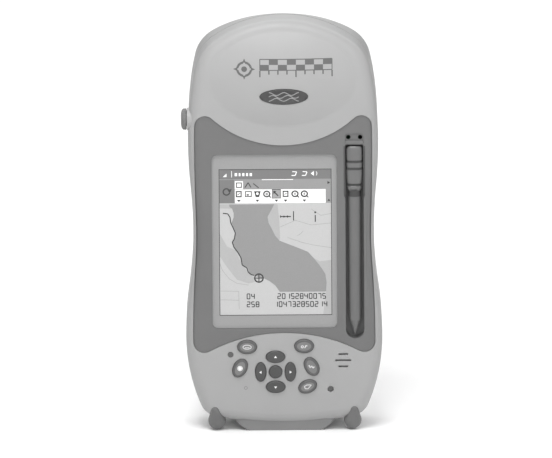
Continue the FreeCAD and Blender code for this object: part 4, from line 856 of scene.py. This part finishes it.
def dress_nodes():
    case = moulded("case_plastic", 0.318, 0.50, 1300.0, 0.22, 0.02)
    bezel = moulded("bezel_plastic", 0.131, 0.48, 1300.0, 0.3, 0.04)
    pen = moulded("pen_barrel", 0.123, 0.36, 1400.0, 0.12)
    base = moulded("base_dark", 0.19, 0.5, 1100.0, 0.3)
    steel = metal("plain_steel", 0.5, 0.32, (1, 6, 1))
    screw = metal("screw_steel", 0.42, 0.34)
    board = circuit("board_resist")
    chip = moulded("chip_resin", 0.03, 0.55, 2200.0, 0.2)
    black = rubber("seal_black", 0.07)
    finishes = {
        case: ["front_housing", "rear_housing", "battery_cover"],
        bezel: ["bezel", "tether_bar"],
        black: ["housing_gasket", "cap_anchor", "antenna_lead"],
        rubber("foot_rubber", 0.145, 500.0): ["foot_left", "foot_right"],
        rubber("mat_grey", 0.22): ["keypad_mat"],
        printed("mask_ink", 0.27, 0.3): ["screen_mask"],
        printed("lcd_back", 0.25, 0.3): ["lcd_module"],
        steel: ["display_frame", "shield_can", "speaker", "microphone", "coin_cell",
                "antenna_plate"],
        moulded("mesh_grey", 0.75, 0.6, 2400.0, 0.4): ["speaker_mesh"],
        moulded("mesh_dark", 0.30, 0.6, 2400.0, 0.4): ["microphone_mesh"],
        screw: ["case_screws", "cover_screws", "board_screws", "foot_studs"],
        board: ["keypad_board", "main_board", "receiver_board"],
        chip: ["processor", "memory_chip", "board_link", "dock_connector"],
        moulded("lens_smoke", 0.055, 0.2, 900.0, 0.03, coat=0.6): ["status_lens"],
        moulded("patch_ceramic", 0.62, 0.6, 1800.0, 0.2, tint=0.03): ["antenna_patch"],
        metal("jack_brass", 0.5, 0.28, tint=0.35): ["antenna_jack"],
        moulded("cell_wrap", 0.05, 0.35, 600.0, 0.05): ["battery_pack"],
        base: ["base_plate"],
        pen: ["stylus_barrel", "stylus_tip"],
        moulded("pen_band", 0.04, 0.3, 1400.0, 0.1): ["stylus_band"],
        moulded("label_film", 0.52, 0.42, 2000.0, 0.08): ["rear_label"],
    }
    for material, names in finishes.items():
        for name in names:
            set_materials(NODES[name], material)


def build_floor():
    mesh = bpy.data.meshes.new("floor")
    build = bmesh.new()
    bmesh.ops.create_grid(build, x_segments=2, y_segments=2, size=FLOOR_HALF)
    build.to_mesh(mesh)
    build.free()
    floor = bpy.data.objects.new("floor", mesh)
    bpy.context.scene.collection.objects.link(floor)
    floor.location.z = -FLOOR_DROP
    mesh.materials.append(moulded("floor_paper", 0.93, 0.8, 300.0, 0.02, 0.004))


place_camera()
light_scene()
build_floor()
dress_nodes()
build_keys()
build_screen()
build_dome_marks()
build_badge()
build_rear_marks()
build_painted_slot_shade()
build_stylus()
build_cap()

bpy.context.view_layer.update()
